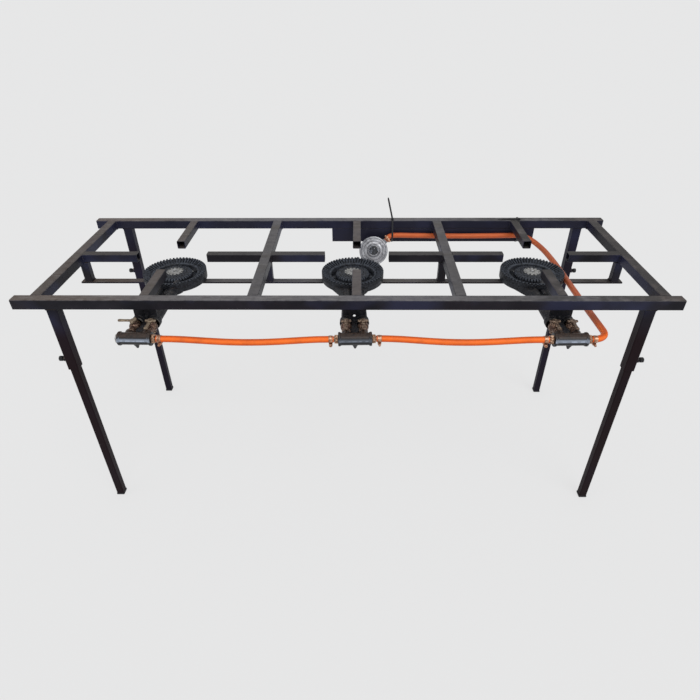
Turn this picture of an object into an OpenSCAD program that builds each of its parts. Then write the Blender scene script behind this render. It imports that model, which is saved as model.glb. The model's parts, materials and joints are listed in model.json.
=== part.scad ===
// Propane stand for three pots: a welded square-tube table on four sliding legs.
// Three double-ring cast burners stand on one flat carrier bar hung below the top.
// Each has a two-tap manifold, and hoses join the manifolds to one regulator.
//
// Working frame of the modules: X along the rails, Y = 0 at the front face of the
// front rail, Z = 0 at the pot-support plane. in_row() moves it onto the floor.

/* [Table] */
// Height of the pot-support plane above the floor, legs pushed fully in
table_height = 650; // [560:5:760]
// Length of the two long rails
rail_length = 1500; // [1480:5:1700]
// Depth of the table over both rails
table_depth = 505; // [480:5:560]
// Outside size of the square frame tube
frame_tube = 25; // [22:1:30]
// Wall of all square tube
tube_wall = 2; // [1.5:0.5:2.5]
// Outside corner radius of all square tube
tube_corner = 2.5; // [1.5:0.5:3]
// Distance of the left side member's centre line from the rails' left ends
side_left_in = 47; // [35:1:60]
// Centre line of the left cross member
cross_left_x = -209; // [-225:1:-195]
// Centre line of the right cross member
cross_right_x = 261; // [245:1:275]
// Distance of the right side member's centre line from the rails' right ends
side_right_in = 33; // [25:1:45]

/* [Pot supports] */
// Outside size of the square support tube
stub_tube = 22; // [18:1:24]
// Length of the side supports of the left bay
left_bay_stub = 143; // [120:1:155]
// Length of the side supports of the middle bay
middle_bay_stub = 139; // [120:1:150]
// Length of the side supports of the right bay
right_bay_stub = 131; // [115:1:145]
// Length of the supports on the front rail
front_stub = 130; // [100:1:140]
// Length of the supports on the rear rail
rear_stub = 151; // [110:1:155]

/* [Burner carrier] */
// Depth of the carrier bar's top face below the pot-support plane
carrier_drop = 80; // [75:1:110]
// Width of the carrier bar
carrier_width = 20; // [18:1:40]
// Thickness of the carrier bar
carrier_thick = 4; // [3:1:8]
// How far the carrier bar runs past its end hangers
carrier_overhang = 11; // [4:1:20]
// Outside size of the hanger tube
hanger_tube = 20; // [16:1:24]

/* [Legs] */
// Distance of the left legs' centre line from the rails' left ends
leg_left_in = 87; // [75:1:110]
// Distance of the right legs' centre line from the rails' right ends
leg_right_in = 70; // [60:1:100]
// Length of each leg socket below its rail
socket_length = 168; // [140:1:220]
// Gap between a leg and its socket, each side
leg_gap = 0.5; // [0.3:0.1:0.9]
// Height of the thumb screw above the socket's lower end
screw_height = 25; // [20:1:50]
// Diameter of the thumb screw's thread
screw_d = 8; // [6:1:10]
// Diameter of the thumb screw's knob
knob_d = 13; // [12:0.5:20]
// Height of the foot plug's head
foot_height = 6; // [4:1:12]

/* [Burners] */
// Radius of the outer flame ring
ring_r = 82; // [80:0.5:88]
// Height of the outer flame ring
ring_height = 27; // [25:0.5:32]
// Flame slots round the outer ring
ring_slots = 56; // [40:2:64]
// Radius of the inner burner
inner_r = 45; // [42:0.5:47]
// Flame slots round the inner burner
inner_slots = 36; // [24:2:40]
// Radius of the burner cap
cap_r = 21.5; // [19:0.5:23]
// Diameter of the bolt through cap, burner and carrier bar
bolt_d = 6; // [6:1:8]
// How far the row of burners stands in front of the table's middle
burner_forward = 0; // [-3:0.5:5]

/* [Gas train] */
// Outside diameter of a mixing tube
mixer_d = 23; // [21:0.5:25]
// Bore of a mixing tube
mixer_bore = 17; // [12:0.5:18]
// Outside diameter of a mixing tube's mouth
mouth_d = 29; // [28:0.5:31]
// Height of the mixing tubes' and manifold's axis above the burner's seat
gas_axis = 10; // [9:0.5:11]
// Distance between a burner's two taps
tap_pitch = 39; // [38:0.5:44]
// Outside diameter of the manifold
manifold_d = 28; // [24:0.5:29]
// Length of the manifold
manifold_length = 75; // [73:1:90]
// Reach of a tap lever from its axis
lever_reach = 36; // [28:1:38]
// Outside diameter of the gas hose
hose_d = 15; // [14:0.5:16]
// Bore of the gas hose
hose_bore = 8.8; // [8:0.2:10]

/* [Regulator] */
// Diameter of the regulator's clamped flange
regulator_d = 84; // [76:1:90]
// Lean of the regulator's face back from upright
regulator_lean = 28; // [20:1:35]

/* [Rear strip] */
// Length of the hose strip under the rear rail
strip_length = 600; // [560:5:640]
// Height of the hose strip
strip_height = 40; // [35:1:50]
// Thickness of the hose strip
strip_thick = 5; // [3:1:6]

/* [Hidden] */
$fn = 48;

steel_black = [0.09, 0.09, 0.11];
iron_black = [0.13, 0.13, 0.14];
brass = [0.62, 0.50, 0.30];
bright_zinc = [0.72, 0.72, 0.72];
cap_grey = [0.78, 0.78, 0.74];
cast_alloy = [0.70, 0.70, 0.70];
hose_orange = [0.93, 0.42, 0.12];
black_plastic = [0.05, 0.05, 0.06];

cut = 1;                                   // how far a cutter runs past a face
touch = 0.3;                               // gap between pieces that only rest together
run = 0.05;                                // radial clearance of a turning fit

mid_y = table_depth / 2;
rear_face_y = table_depth - frame_tube;    // inner face of the rear rail
side_left_x = -rail_length / 2 + side_left_in;
side_right_x = rail_length / 2 - side_right_in;
left_bay_x = (side_left_x + cross_left_x) / 2;
middle_bay_x = (cross_left_x + cross_right_x) / 2;
right_bay_x = (cross_right_x + side_right_x) / 2;

// Burners: centre along the rails, and the small turn each was bolted down with
burner_x = [left_bay_x - 3.5, middle_bay_x - 11, right_bay_x + 0.5];
burner_y = mid_y - burner_forward;
burner_turn = [-1.1, 1.5, 1.2];

// Hangers stand a little inside their members
hanger_x = [side_left_x + 9, cross_left_x + 1, cross_right_x - 10, side_right_x - 7];
carrier_left = hanger_x[0] - hanger_tube / 2 - carrier_overhang;
carrier_right = hanger_x[3] + hanger_tube / 2 + carrier_overhang;

// Legs
leg_left_x = -rail_length / 2 + leg_left_in;
leg_right_x = rail_length / 2 - leg_right_in;
leg_tube = frame_tube - 2 * tube_wall - 2 * leg_gap;
leg_places = [
    [leg_left_x, frame_tube / 2, -1], [leg_right_x, frame_tube / 2, 1],
    [leg_left_x, table_depth - frame_tube / 2, -1],
    [leg_right_x, table_depth - frame_tube / 2, 1]
];
socket_bottom = -frame_tube - socket_length;
screw_z = socket_bottom + screw_height;
nut_across = 1.6 * screw_d;
nut_height = 0.8 * screw_d;
knob_length = 10;
knob_standoff = 3;

// Burner casting; its rings stand clear of the carrier bar on a boss and three arms
ring_lift = 3.5;
ring_in = ring_r - 25;                     // inner radius of the outer ring
ring_lip = 4.5;                            // flat land on top of the outer wall
lip_in = ring_r - ring_lip;
ring_low = 18.5;                           // height of the ring's inner edge
slot_w = 4;
slot_depth = 4.5;
inner_top = 22;
cap_thick = 2.6;
cap_z = ring_lift + inner_top;
column_r = 12;
arm_w = 14;
mouth_y = -236;                            // mouths, measured from the burner's centre
mouth_depth = 15;
mixer_in = 16.5;                           // half the spacing where the tubes meet the ring
mixer_out = tap_pitch / 2;
mixer_run = 150;
mixer_angle = atan((mixer_out - mixer_in) / mixer_run);
web_thick = 3;
web_hole_y = mouth_y + 35;
neck_y = mouth_y + 135;                    // where the neck leaves the mixing tube

// Stop plate cast across the tubes behind their mouths; it stands just behind the rail
plate_y = mouth_y + 10.5;
plate_thick = 4.5;
plate_half = 27;
plate_top = 44;
plate_hole_z = 24;
tongue_w = tap_pitch - mouth_d + 1.2;
tongue_thick = 5;
seat_clear = 0.2;                          // radial clearance of the fixing bolt

// Manifold and taps, measured from the burner's centre
manifold_y = -300.5;
tap_y = -250;
flange_d = manifold_d + 4;
flange_w = 5;
nub_length = 11;
boss_d = 22;
boss_end = manifold_y + 22;
tongue_end = manifold_y + 18;               // where the casting's tongue meets the manifold
ball_r = 12.8;                             // round body of a tap
ball_foot = 11.5;                          // its flat underside
tap_rise = 13.5;                           // its flat top above the gas way
plug_r = 5.5;
lever_thick = 4;
lever_w = 7;
cross_reach = 12;                          // half length of the lever's cross bar
tip_y = mouth_y + 8;                       // tip of the gas jet, inside the mouth

// Hose ends
hex_across = 19;
hex_w = 8;
collar_w = 2;
nipple_w = 12;
nipple_r = hose_bore / 2 - 0.8;
hose_start = manifold_length / 2 + hex_w + collar_w;
clamp_back = 2;                            // clamp band behind the hose's end
clamp_w = 9;

// Rear strip; it ends just short of the supply hose, which comes in past the right burner
supply_x = burner_x[2] + ring_r + hose_d / 2 + 2;
strip_short = 29;
strip_left = supply_x - strip_short - strip_length;

// Regulator: centre of the clamped flange, and the turn of its outlet in its own face
regulator_off = 35;                        // in front of the rear rail
regulator_in = 123.5;                      // from the strip's left end
regulator_at = [strip_left + regulator_in, rear_face_y - regulator_off, -80];
regulator_turn = 40;
regulator_r = regulator_d / 2;
chamber_z = -9;
outlet_start = 42;
outlet_collar = 6;

// Ties, one at each end of the hose's straight run along the strip
tie_w = 4.8;
tie_t = 1.3;
tie_in = [55.5, 78];
tie_x = [regulator_at[0] + tie_in[0], supply_x - tie_in[1]];
hose_run_y = rear_face_y - hose_d / 2 - 0.5;
hose_run_z = -43;

// The row's origin: middle of the whole stand, on the floor
turn_swing = manifold_length / 2 * sin(max(burner_turn));
front_reach = burner_y + manifold_y * cos(max(burner_turn)) - flange_d / 2 - turn_swing;
rear_reach = table_depth + touch + tie_t;
row_y = -(front_reach + rear_reach) / 2;

// Point p of burner i's own frame, in the working frame
function from_burner(i, p) =
    let (t = burner_turn[i])
    [burner_x[i] + p[0] * cos(t) - p[1] * sin(t),
     burner_y + p[0] * sin(t) + p[1] * cos(t),
     p[2] - carrier_drop];

// Point on the axis of a manifold's end, a distance out from where its hose begins
function hose_end(i, side, out) =
    from_burner(i, [side * (hose_start + out), manifold_y, gas_axis]);

// Point on the axis of the regulator's outlet, a distance out from where its hose begins
function outlet_end(out) =
    let (along = outlet_start + outlet_collar + out, lean = 90 - regulator_lean,
         rise = along * sin(regulator_turn))
    regulator_at + [along * cos(regulator_turn),
                    rise * cos(lean) - chamber_z * sin(lean),
                    rise * sin(lean) + chamber_z * cos(lean)];

// Shares of a span between two manifolds, and the sag there
span_sag = [
    [0.05, 0.3], [0.12, 1.4], [0.2, 3.4], [0.3, 6], [0.4, 8], [0.5, 8.7], [0.6, 8.2],
    [0.7, 6.4], [0.8, 3.8], [0.88, 1.7], [0.95, 0.4]
];
function span(a, b) =
    [for (s = span_sag) a + s[0] * (b - a) - [0, 0, s[1]]];

// Centre lines of the hoses, in the working frame
hose_left_route = concat(
    [hose_end(0, 1, 0), hose_end(0, 1, 14)],
    span(hose_end(0, 1, 14), hose_end(1, -1, 14)),
    [hose_end(1, -1, 14), hose_end(1, -1, 0)]
);
hose_middle_route = concat(
    [hose_end(1, 1, 0), hose_end(1, 1, 14)],
    span(hose_end(1, 1, 14), hose_end(2, -1, 14)),
    [hose_end(2, -1, 14), hose_end(2, -1, 0)]
);

// The supply hose leaves the right manifold, passes the right burner over the carrier
// bar, turns along the rear strip and dips into the regulator
supply_start = hose_end(2, 1, 5);
supply_bend = supply_x - supply_start[0];
carrier_rest_z = -carrier_drop + hose_d / 2 + touch;
front_z = gas_axis - carrier_drop;
side_run = [
    [0, 0.017, front_z], [0, 0.076, front_z - 0.4], [0, 0.14, front_z - 1],
    [0, 0.212, carrier_rest_z + 0.4], [0, 0.288, carrier_rest_z], [0, 0.364, carrier_rest_z],
    [0, 0.441, carrier_rest_z], [0, 0.508, carrier_rest_z], [0.4, 0.568, carrier_rest_z + 0.8],
    [2, 0.636, -70], [5, 0.703, -67], [9.5, 0.771, -63.5]
];
corner = [
    [15.5, 74, -60], [23.5, 48, -56.5], [34.5, 26.5, -52], [48.5, 10.5, -47.6],
    [63, 2.3, -44.6], [78, 0, -43.2]
];
strip_run = [
    [0, -43], [0.081, -43.4], [0.187, -44], [0.303, -44.4], [0.418, -44.6], [0.533, -44.4],
    [0.648, -44], [0.764, -43.4], [0.867, -42.8], [0.942, -42.3], [1, -42.3]
];
dip = [[56.5, 0.2, -42.7], [51, 0.9, -44], [45.9, 2.1, -46.2]];
corner_end = 96;
dip_start = 62.5;
run_right = supply_x - corner_end;
run_left = regulator_at[0] + dip_start;
hose_supply_route = concat(
    [hose_end(2, 1, 0)],
    [for (a = [0:15:90]) supply_start + supply_bend * [sin(a), 1 - cos(a), 0]],
    [for (p = side_run) [supply_x - p[0], hose_run_y * p[1], p[2]]],
    [for (p = corner) [supply_x - p[0], hose_run_y - p[1], p[2]]],
    [for (p = strip_run) [run_right + p[0] * (run_left - run_right), hose_run_y, p[1]]],
    [for (p = dip) [regulator_at[0] + p[0], hose_run_y - p[1], p[2]]],
    [outlet_end(6), outlet_end(0)]
);

// ---- Shared shapes -------------------------------------------------------------

module in_row() {
    translate([0, row_y, table_height]) children();
}

module at_burner(i) {
    in_row() translate([burner_x[i], burner_y, -carrier_drop])
        rotate([0, 0, burner_turn[i]]) children();
}

module at_regulator() {
    in_row() translate(regulator_at) rotate([90 - regulator_lean, 0, 0])
        rotate([0, 0, regulator_turn]) children();
}

// Square with rounded corners, about the origin
module rounded_square(size, radius) {
    flat = size - 2 * radius;
    square([size, flat], center = true);
    square([flat, size], center = true);
    for (sx = [-1, 1], sy = [-1, 1])
        translate([sx * flat / 2, sy * flat / 2]) circle(radius, $fn = 24);
}

// Square tube standing on Z = 0
module square_tube(size, length) {
    linear_extrude(length) difference() {
        rounded_square(size, tube_corner);
        rounded_square(size - 2 * tube_wall, max(0.5, tube_corner - tube_wall));
    }
}

module tube_along_x(size, x0, x1, y, z) {
    translate([x0, y, z]) rotate([0, 90, 0]) square_tube(size, x1 - x0);
}

module tube_along_y(size, y0, y1, x, z) {
    translate([x, y0, z]) rotate([-90, 0, 0]) square_tube(size, y1 - y0);
}

module tube_along_z(size, z0, z1, x, y) {
    translate([x, y, z0]) square_tube(size, z1 - z0);
}

// Cylinder along +Y starting at a point
module rod_y(diameter, length) {
    rotate([-90, 0, 0]) cylinder(d = diameter, h = length);
}

// Cylinder along +X starting at a point
module rod_x(diameter, length) {
    rotate([0, 90, 0]) cylinder(d = diameter, h = length);
}

// Hexagonal bar along +X
module hex_x(across, length) {
    rotate([0, 90, 0]) cylinder(d = across / cos(30), h = length, $fn = 6);
}

// ---- Frame ---------------------------------------------------------------------

module front_rail() {
    color(steel_black) in_row()
        tube_along_x(frame_tube, -rail_length / 2, rail_length / 2, frame_tube / 2,
                     -frame_tube / 2);
}

module rear_rail() {
    color(steel_black) in_row()
        tube_along_x(frame_tube, -rail_length / 2, rail_length / 2,
                     table_depth - frame_tube / 2, -frame_tube / 2);
}

// A member that joins the two rails at x
module member(x) {
    color(steel_black) in_row()
        tube_along_y(frame_tube, frame_tube, rear_face_y, x, -frame_tube / 2);
}

module side_support_stubs() {
    half = frame_tube / 2;
    spans = [
        [side_left_x + half, side_left_x + half + left_bay_stub],
        [cross_left_x - half - left_bay_stub, cross_left_x - half],
        [cross_left_x + half, cross_left_x + half + middle_bay_stub],
        [cross_right_x - half - middle_bay_stub, cross_right_x - half],
        [cross_right_x + half, cross_right_x + half + right_bay_stub],
        [side_right_x - half - right_bay_stub, side_right_x - half]
    ];
    color(steel_black) in_row()
        for (span = spans)
            tube_along_x(stub_tube, span[0], span[1], mid_y, -stub_tube / 2);
}

module end_support_stubs() {
    color(steel_black) in_row()
        for (x = [left_bay_x, middle_bay_x, right_bay_x]) {
            tube_along_y(stub_tube, frame_tube, frame_tube + front_stub, x, -stub_tube / 2);
            tube_along_y(stub_tube, rear_face_y - rear_stub, rear_face_y, x, -stub_tube / 2);
        }
}

module carrier_hangers() {
    color(steel_black) in_row()
        for (x = hanger_x)
            tube_along_z(hanger_tube, -carrier_drop, -frame_tube, x, burner_y);
}

module burner_carrier() {
    color(steel_black) in_row()
        difference() {
            translate([carrier_left, burner_y - carrier_width / 2, -carrier_drop - carrier_thick])
                cube([carrier_right - carrier_left, carrier_width, carrier_thick]);
            for (x = burner_x)
                translate([x, burner_y, -carrier_drop - carrier_thick - cut])
                    cylinder(d = bolt_d + 2 * seat_clear, h = carrier_thick + 2 * cut);
        }
}

module leg_sockets() {
    color(steel_black) in_row()
        for (place = leg_places)
            difference() {
                tube_along_z(frame_tube, socket_bottom, -frame_tube, place[0], place[1]);
                translate([place[0], place[1], screw_z]) rotate([0, 90 * place[2], 0])
                    cylinder(d = screw_d + 0.6, h = frame_tube);
            }
}

// Weld nuts that carry the thumb screws
module socket_nuts() {
    color(steel_black) in_row()
        for (place = leg_places)
            translate([place[0] + place[2] * frame_tube / 2, place[1], screw_z])
                rotate([0, 90 * place[2], 0]) difference() {
                    cylinder(d = nut_across / cos(30), h = nut_height, $fn = 6);
                    translate([0, 0, -cut])
                        cylinder(d = screw_d + 2 * run, h = nut_height + 2 * cut);
                }
}

module hose_strip() {
    color(steel_black) in_row()
        translate([strip_left, rear_face_y, -frame_tube - strip_height])
            cube([strip_length, strip_thick, strip_height]);
}

// Section of a tie: a band round rail, strip and hose, seen along X
module tie_band(grow) {
    rail_top = touch + grow;
    back = table_depth + touch + grow;
    low = -frame_tube - strip_height - touch - grow;
    front = hose_run_y - hose_d / 2 - touch - grow;
    strip_back = rear_face_y + strip_thick + touch + grow;
    polygon([
        [back, rail_top], [rear_face_y - touch - grow, rail_top],
        [front, hose_run_z + hose_d / 3], [front, hose_run_z - hose_d / 3],
        [rear_face_y - touch - grow, low], [strip_back, low], [back, -frame_tube - touch - grow]
    ]);
}

module cable_ties() {
    head = 7;
    tail_length = 64;
    color(black_plastic) in_row()
        for (i = [0, 1]) {
            translate([tie_x[i] - tie_w / 2, 0, 0]) rotate([90, 0, 90])
                linear_extrude(tie_w) difference() {
                    tie_band(tie_t);
                    tie_band(0);
                }
            translate([tie_x[i] - head / 2, rear_face_y + 1, touch + tie_t])
                cube([head, 6, 4.5]);
            // The cut end stands up from the left tie and lies along the rail on the right
            if (i == 0)
                translate([tie_x[i] - 1.5, rear_face_y + 4, touch + tie_t + 4])
                    rotate([0, -13, 0]) translate([-tie_w / 2, 0, 0])
                        cube([tie_w, tie_t, tail_length]);
            else
                translate([tie_x[i] - tail_length, rear_face_y + 3, touch + tie_t])
                    cube([tail_length, tie_w, tie_t]);
        }
}

// ---- Legs ----------------------------------------------------------------------

// Place i of leg_places; the leg's head stops on the underside of the rail
module leg(i) {
    color(steel_black) in_row()
        tube_along_z(leg_tube, foot_height - table_height, -frame_tube,
                     leg_places[i][0], leg_places[i][1]);
}

module foot(i) {
    stem = leg_tube - 2 * tube_wall - 0.4;
    color(black_plastic) in_row()
        translate([leg_places[i][0], leg_places[i][1], -table_height]) {
            linear_extrude(foot_height) rounded_square(leg_tube + 1.6, 3);
            linear_extrude(foot_height + 18) rounded_square(stem, 1);
        }
}

module thumb_screw(i) {
    face = leg_tube / 2 + touch;
    shank = frame_tube / 2 + nut_height + knob_standoff - face;
    color(black_plastic) in_row()
        translate([leg_places[i][0], leg_places[i][1], screw_z])
            rotate([0, 90 * leg_places[i][2], 0]) translate([0, 0, face]) {
                cylinder(d = screw_d, h = shank + cut);
                translate([0, 0, shank]) difference() {
                    union() {
                        cylinder(d = knob_d, h = knob_length - 2);
                        translate([0, 0, knob_length - 2])
                            cylinder(d1 = knob_d, d2 = knob_d - 3, h = 2);
                    }
                    for (a = [0:60:300])
                        rotate([0, 0, a]) translate([knob_d / 2 + 1, 0, 2])
                            cylinder(d = 4, h = knob_length, $fn = 24);
                }
            }
}

// ---- Burners -------------------------------------------------------------------

// Outer flame ring: a hollow channel with a coned, slotted inner face
module outer_ring() {
    rotate_extrude($fn = 96) polygon([
        [ring_in, 0], [ring_r - 1.5, 0], [ring_r, 3], [ring_r, ring_height - 1],
        [ring_r - 1, ring_height], [lip_in, ring_height], [ring_in + 2, ring_low],
        [ring_in, ring_low - 1]
    ]);
}

module outer_channel() {
    groove = ring_in + 9;
    rotate_extrude($fn = 96) polygon([
        [ring_in + 4, 4], [lip_in, 4], [lip_in, ring_height - 11],
        [groove + 3, ring_height - 8], [groove, ring_height - 10], [ring_in + 4, 8]
    ]);
}

// Radial flame slots that follow the cone and notch the rim
module outer_slots() {
    slope = (ring_height - ring_low) / (lip_in - ring_in - 2);
    start = ring_in + 5;
    floor_z = ring_low + (start - ring_in - 2) * slope - slot_depth;
    rim_z = ring_height - 3.2;
    for (i = [0 : ring_slots - 1])
        rotate([0, 0, (i + 0.5) * 360 / ring_slots])
            rotate([90, 0, 0]) translate([0, 0, -slot_w / 2]) linear_extrude(slot_w)
                polygon([
                    [start, floor_z], [start + (rim_z - floor_z) / slope, rim_z],
                    [ring_r + cut, rim_z], [ring_r + cut, ring_height + cut],
                    [start, ring_height + cut]
                ]);
}

module inner_burner() {
    rotate_extrude($fn = 72) polygon([
        [0, 0], [inner_r - 4, 0], [inner_r, 4], [inner_r, 16], [inner_r - 2.5, 19.5],
        [cap_r + 2.5, inner_top], [0, inner_top]
    ]);
}

module inner_channel() {
    rotate_extrude($fn = 72) polygon([
        [column_r, 4], [inner_r - 5, 4], [inner_r - 5, 12], [cap_r + 2, 17], [column_r, 17]
    ]);
}

// Slots in the shoulder and a ring of round ports beside the cap
module inner_ports() {
    for (i = [0 : inner_slots - 1])
        rotate([0, 0, (i + 0.5) * 360 / inner_slots])
            translate([inner_r - 6.5, -1.25, 11]) cube([8, 2.5, 10]);
    for (i = [0 : 23])
        rotate([0, 0, i * 15]) translate([cap_r + 8, 0, 10])
            cylinder(d = 3, h = 15, $fn = 16);
}

// Side -1 is the tube of the outer ring, side 1 the tube of the inner burner
module on_mixer(side) {
    translate([side * mixer_out, mouth_y, gas_axis])
        rotate([0, 0, side * mixer_angle]) children();
}

function mixer_length(side) = side < 0 ? -mouth_y - ring_r + 12 : -mouth_y - inner_r + 16;

module mixer_outside(side) {
    on_mixer(side) {
        rod_y(mixer_d, mixer_length(side));
        rotate([-90, 0, 0]) {
            cylinder(d = mouth_d, h = mouth_depth);
            translate([0, 0, mouth_depth]) cylinder(d1 = mouth_d, d2 = mixer_d, h = 8);
        }
    }
}

module mixer_inside(side) {
    on_mixer(side) translate([0, -cut, 0]) rotate([-90, 0, 0]) {
        cylinder(d = mixer_bore, h = mixer_length(side) - 4);
        cylinder(d1 = mouth_d - 3, d2 = mixer_bore, h = mouth_depth + 3);
    }
}

// Flared neck from the outer ring's mixing tube to the left of the ring
module ring_neck() {
    translate([0, 0, 1]) linear_extrude(gas_axis + 8) polygon([
        [-mixer_in - mixer_d / 2 + 0.5, neck_y], [-0.54 * ring_r, -0.885 * ring_r],
        [-ring_r + 7, -18], [-ring_in - 2, -22],
        [-mixer_in, -ring_in - 2], [-mixer_in, neck_y]
    ]);
}

// Web between the mixing tubes with one opening; its tongue carries the manifold
module mixer_web() {
    difference() {
        translate([-mixer_in, plate_y, gas_axis - web_thick / 2])
            cube([2 * mixer_in, -plate_y - ring_r + 6, web_thick]);
        translate([0, web_hole_y, gas_axis - web_thick]) cylinder(d = 13, h = 2 * web_thick);
    }
    translate([-tongue_w / 2, tongue_end, gas_axis - tongue_thick / 2])
        cube([tongue_w, plate_y + plate_thick - tongue_end, tongue_thick]);
}

module stop_plate() {
    difference() {
        translate([-plate_half, plate_y, gas_axis])
            cube([2 * plate_half, plate_thick, plate_top - gas_axis]);
        translate([0, plate_y - cut, plate_hole_z]) rod_y(8, plate_thick + 2 * cut);
    }
}

// Three arms carry the inner burner; two of them lie on the carrier bar
module burner_arms() {
    for (a = [0, 90, 180])
        rotate([0, 0, a]) translate([inner_r - 6, -arm_w / 2, 0])
            cube([ring_in - inner_r + 10, arm_w, ring_lift + 8]);
}

module burner_casting(i) {
    color(iron_black) at_burner(i) difference() {
        union() {
            difference() {
                union() {
                    translate([0, 0, ring_lift]) outer_ring();
                    translate([0, 0, ring_lift]) inner_burner();
                    burner_arms();
                }
                translate([0, 0, ring_lift]) outer_channel();
                translate([0, 0, ring_lift]) inner_channel();
            }
            for (side = [-1, 1]) mixer_outside(side);
            ring_neck();
            mixer_web();
            stop_plate();
            cylinder(r = column_r, h = cap_z);
        }
        translate([0, 0, ring_lift]) outer_slots();
        translate([0, 0, ring_lift]) inner_ports();
        for (side = [-1, 1]) mixer_inside(side);
        translate([0, 0, -cut]) cylinder(d = bolt_d + 2 * seat_clear, h = cap_z + 2 * cut);
    }
}

// Flat pressed cap, its edge notched all round
module burner_cap(i) {
    notch_w = 4.4;
    notch_in = cap_r - 6 + notch_w / 2;
    color(cap_grey) at_burner(i) translate([0, 0, cap_z]) difference() {
        rotate_extrude() polygon([
            [0, 0], [cap_r, 0], [cap_r, 1.6], [cap_r - 1, 2], [8, cap_thick], [0, cap_thick]
        ]);
        for (a = [0:30:330])
            rotate([0, 0, a]) translate([notch_in, 0, -cut]) {
                cylinder(d = notch_w, h = 5, $fn = 24);
                translate([0, -notch_w / 2, 0]) cube([8, notch_w, 5]);
            }
        translate([0, 0, -cut]) cylinder(d = bolt_d + 2 * seat_clear, h = 10);
    }
}

// One bolt and nut clamp cap, casting and carrier bar together
module burner_fixings() {
    head = 1.6 * bolt_d;
    top = cap_z + cap_thick;
    for (i = [0:2])
        color(bright_zinc) at_burner(i) {
            translate([0, 0, top]) cylinder(d = head / cos(30), h = 0.65 * bolt_d, $fn = 6);
            translate([0, 0, -carrier_thick - 12]) cylinder(d = bolt_d, h = top + carrier_thick + 12);
            translate([0, 0, -carrier_thick - 0.8 * bolt_d]) difference() {
                cylinder(d = head / cos(30), h = 0.8 * bolt_d, $fn = 6);
                translate([0, 0, -cut]) cylinder(d = bolt_d + 2 * run, h = bolt_d + 2 * cut);
            }
        }
}

// ---- Manifolds and taps ----------------------------------------------------------

module manifold(i) {
    half = manifold_length / 2;
    color(iron_black) at_burner(i) translate([0, manifold_y, gas_axis]) difference() {
        union() {
            translate([-half, 0, 0]) rod_x(manifold_d, manifold_length);
            for (x = [-half, half - flange_w]) translate([x, 0, 0]) rod_x(flange_d, flange_w);
            for (side = [-1, 1])
                translate([side * tap_pitch / 2, 0, 0]) rod_y(boss_d, boss_end - manifold_y);
            rod_y(13, tongue_end - manifold_y);
            translate([0, 0, -manifold_d / 2 - nub_length])
                cylinder(d1 = 5, d2 = 15, h = nub_length);
            translate([0, 0, -manifold_d / 2]) cylinder(d = 15, h = 5);
        }
        translate([-half - cut, 0, 0]) rod_x(15, manifold_length + 2 * cut);
        for (side = [-1, 1])
            translate([side * tap_pitch / 2, 0, 0]) rod_y(12, boss_end - manifold_y + cut);
    }
}

module at_tap(side) {
    translate([side * tap_pitch / 2, tap_y, gas_axis]) children();
}

module tap_bodies(i) {
    inlet = boss_end - tap_y;
    color(brass) at_burner(i) for (side = [-1, 1]) at_tap(side) difference() {
        union() {
            translate([0, inlet, 0]) rod_y(16, -inlet);
            translate([0, inlet, 0]) rotate([-90, 30, 0])
                cylinder(d = 20 / cos(30), h = 5, $fn = 6);
            translate([0, inlet - 10, 0]) rod_y(11.8, 11);
            difference() {
                sphere(ball_r);
                translate([-ball_r, -ball_r, -2 * ball_r - ball_foot]) cube(2 * ball_r);
            }
            cylinder(d = 18, h = tap_rise);
        }
        translate([0, inlet - 10 - cut, 0]) rod_y(6, -inlet + 26);
        translate([0, 4, 0]) rod_y(8, 12);
        translate([0, 0, -15]) cylinder(r = plug_r + run, h = 40);
    }
}

module gas_jets() {
    tip = tip_y - tap_y;
    for (i = [0:2])
        color(brass) at_burner(i) for (side = [-1, 1]) at_tap(side) difference() {
            union() {
                translate([0, 7, 0]) rod_y(7.8, 8);
                translate([0, ball_r + touch, 0]) rotate([-90, 0, 0]) cylinder(d = 12, h = 4, $fn = 6);
                translate([0, ball_r + 4, 0]) rotate([-90, 0, 0])
                    cylinder(d1 = 8, d2 = 5, h = tip - ball_r - 4);
            }
            translate([0, 6, 0]) rod_y(3.4, tip - 8);
            rod_y(0.9, tip + cut);
        }
}

// Plug and lever turn together. Turn 0 points at the user; the gas way runs along the lever
module tap_lever(i, side, turn) {
    hub_z = tap_rise + touch;
    foot_z = -ball_foot - touch - 3.5;
    color(brass) at_burner(i) at_tap(side) rotate([0, 0, turn]) difference() {
        union() {
            translate([0, 0, foot_z]) cylinder(r = plug_r, h = hub_z + 1 - foot_z);
            translate([0, 0, foot_z]) cylinder(d = 15, h = 3.5);
            translate([0, 0, hub_z]) cylinder(d = 14, h = lever_thick + 1);
            translate([-lever_w / 2, 4 - lever_reach, hub_z])
                cube([lever_w, lever_reach - 4, lever_thick]);
            translate([0, 4 - lever_reach, hub_z]) cylinder(d = 8, h = lever_thick);
            translate([-cross_reach, -lever_w / 2, hub_z])
                cube([2 * cross_reach, lever_w, lever_thick]);
        }
        translate([0, -12, 0]) rod_y(6, 24);
    }
}

// Blanking plug in the free end of the left manifold
module manifold_plug() {
    color(bright_zinc) at_burner(0)
        translate([-manifold_length / 2, manifold_y, gas_axis]) {
            translate([-5, 0, 0]) hex_x(hex_across, 5);
            rod_x(14.8, 12);
        }
}

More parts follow.
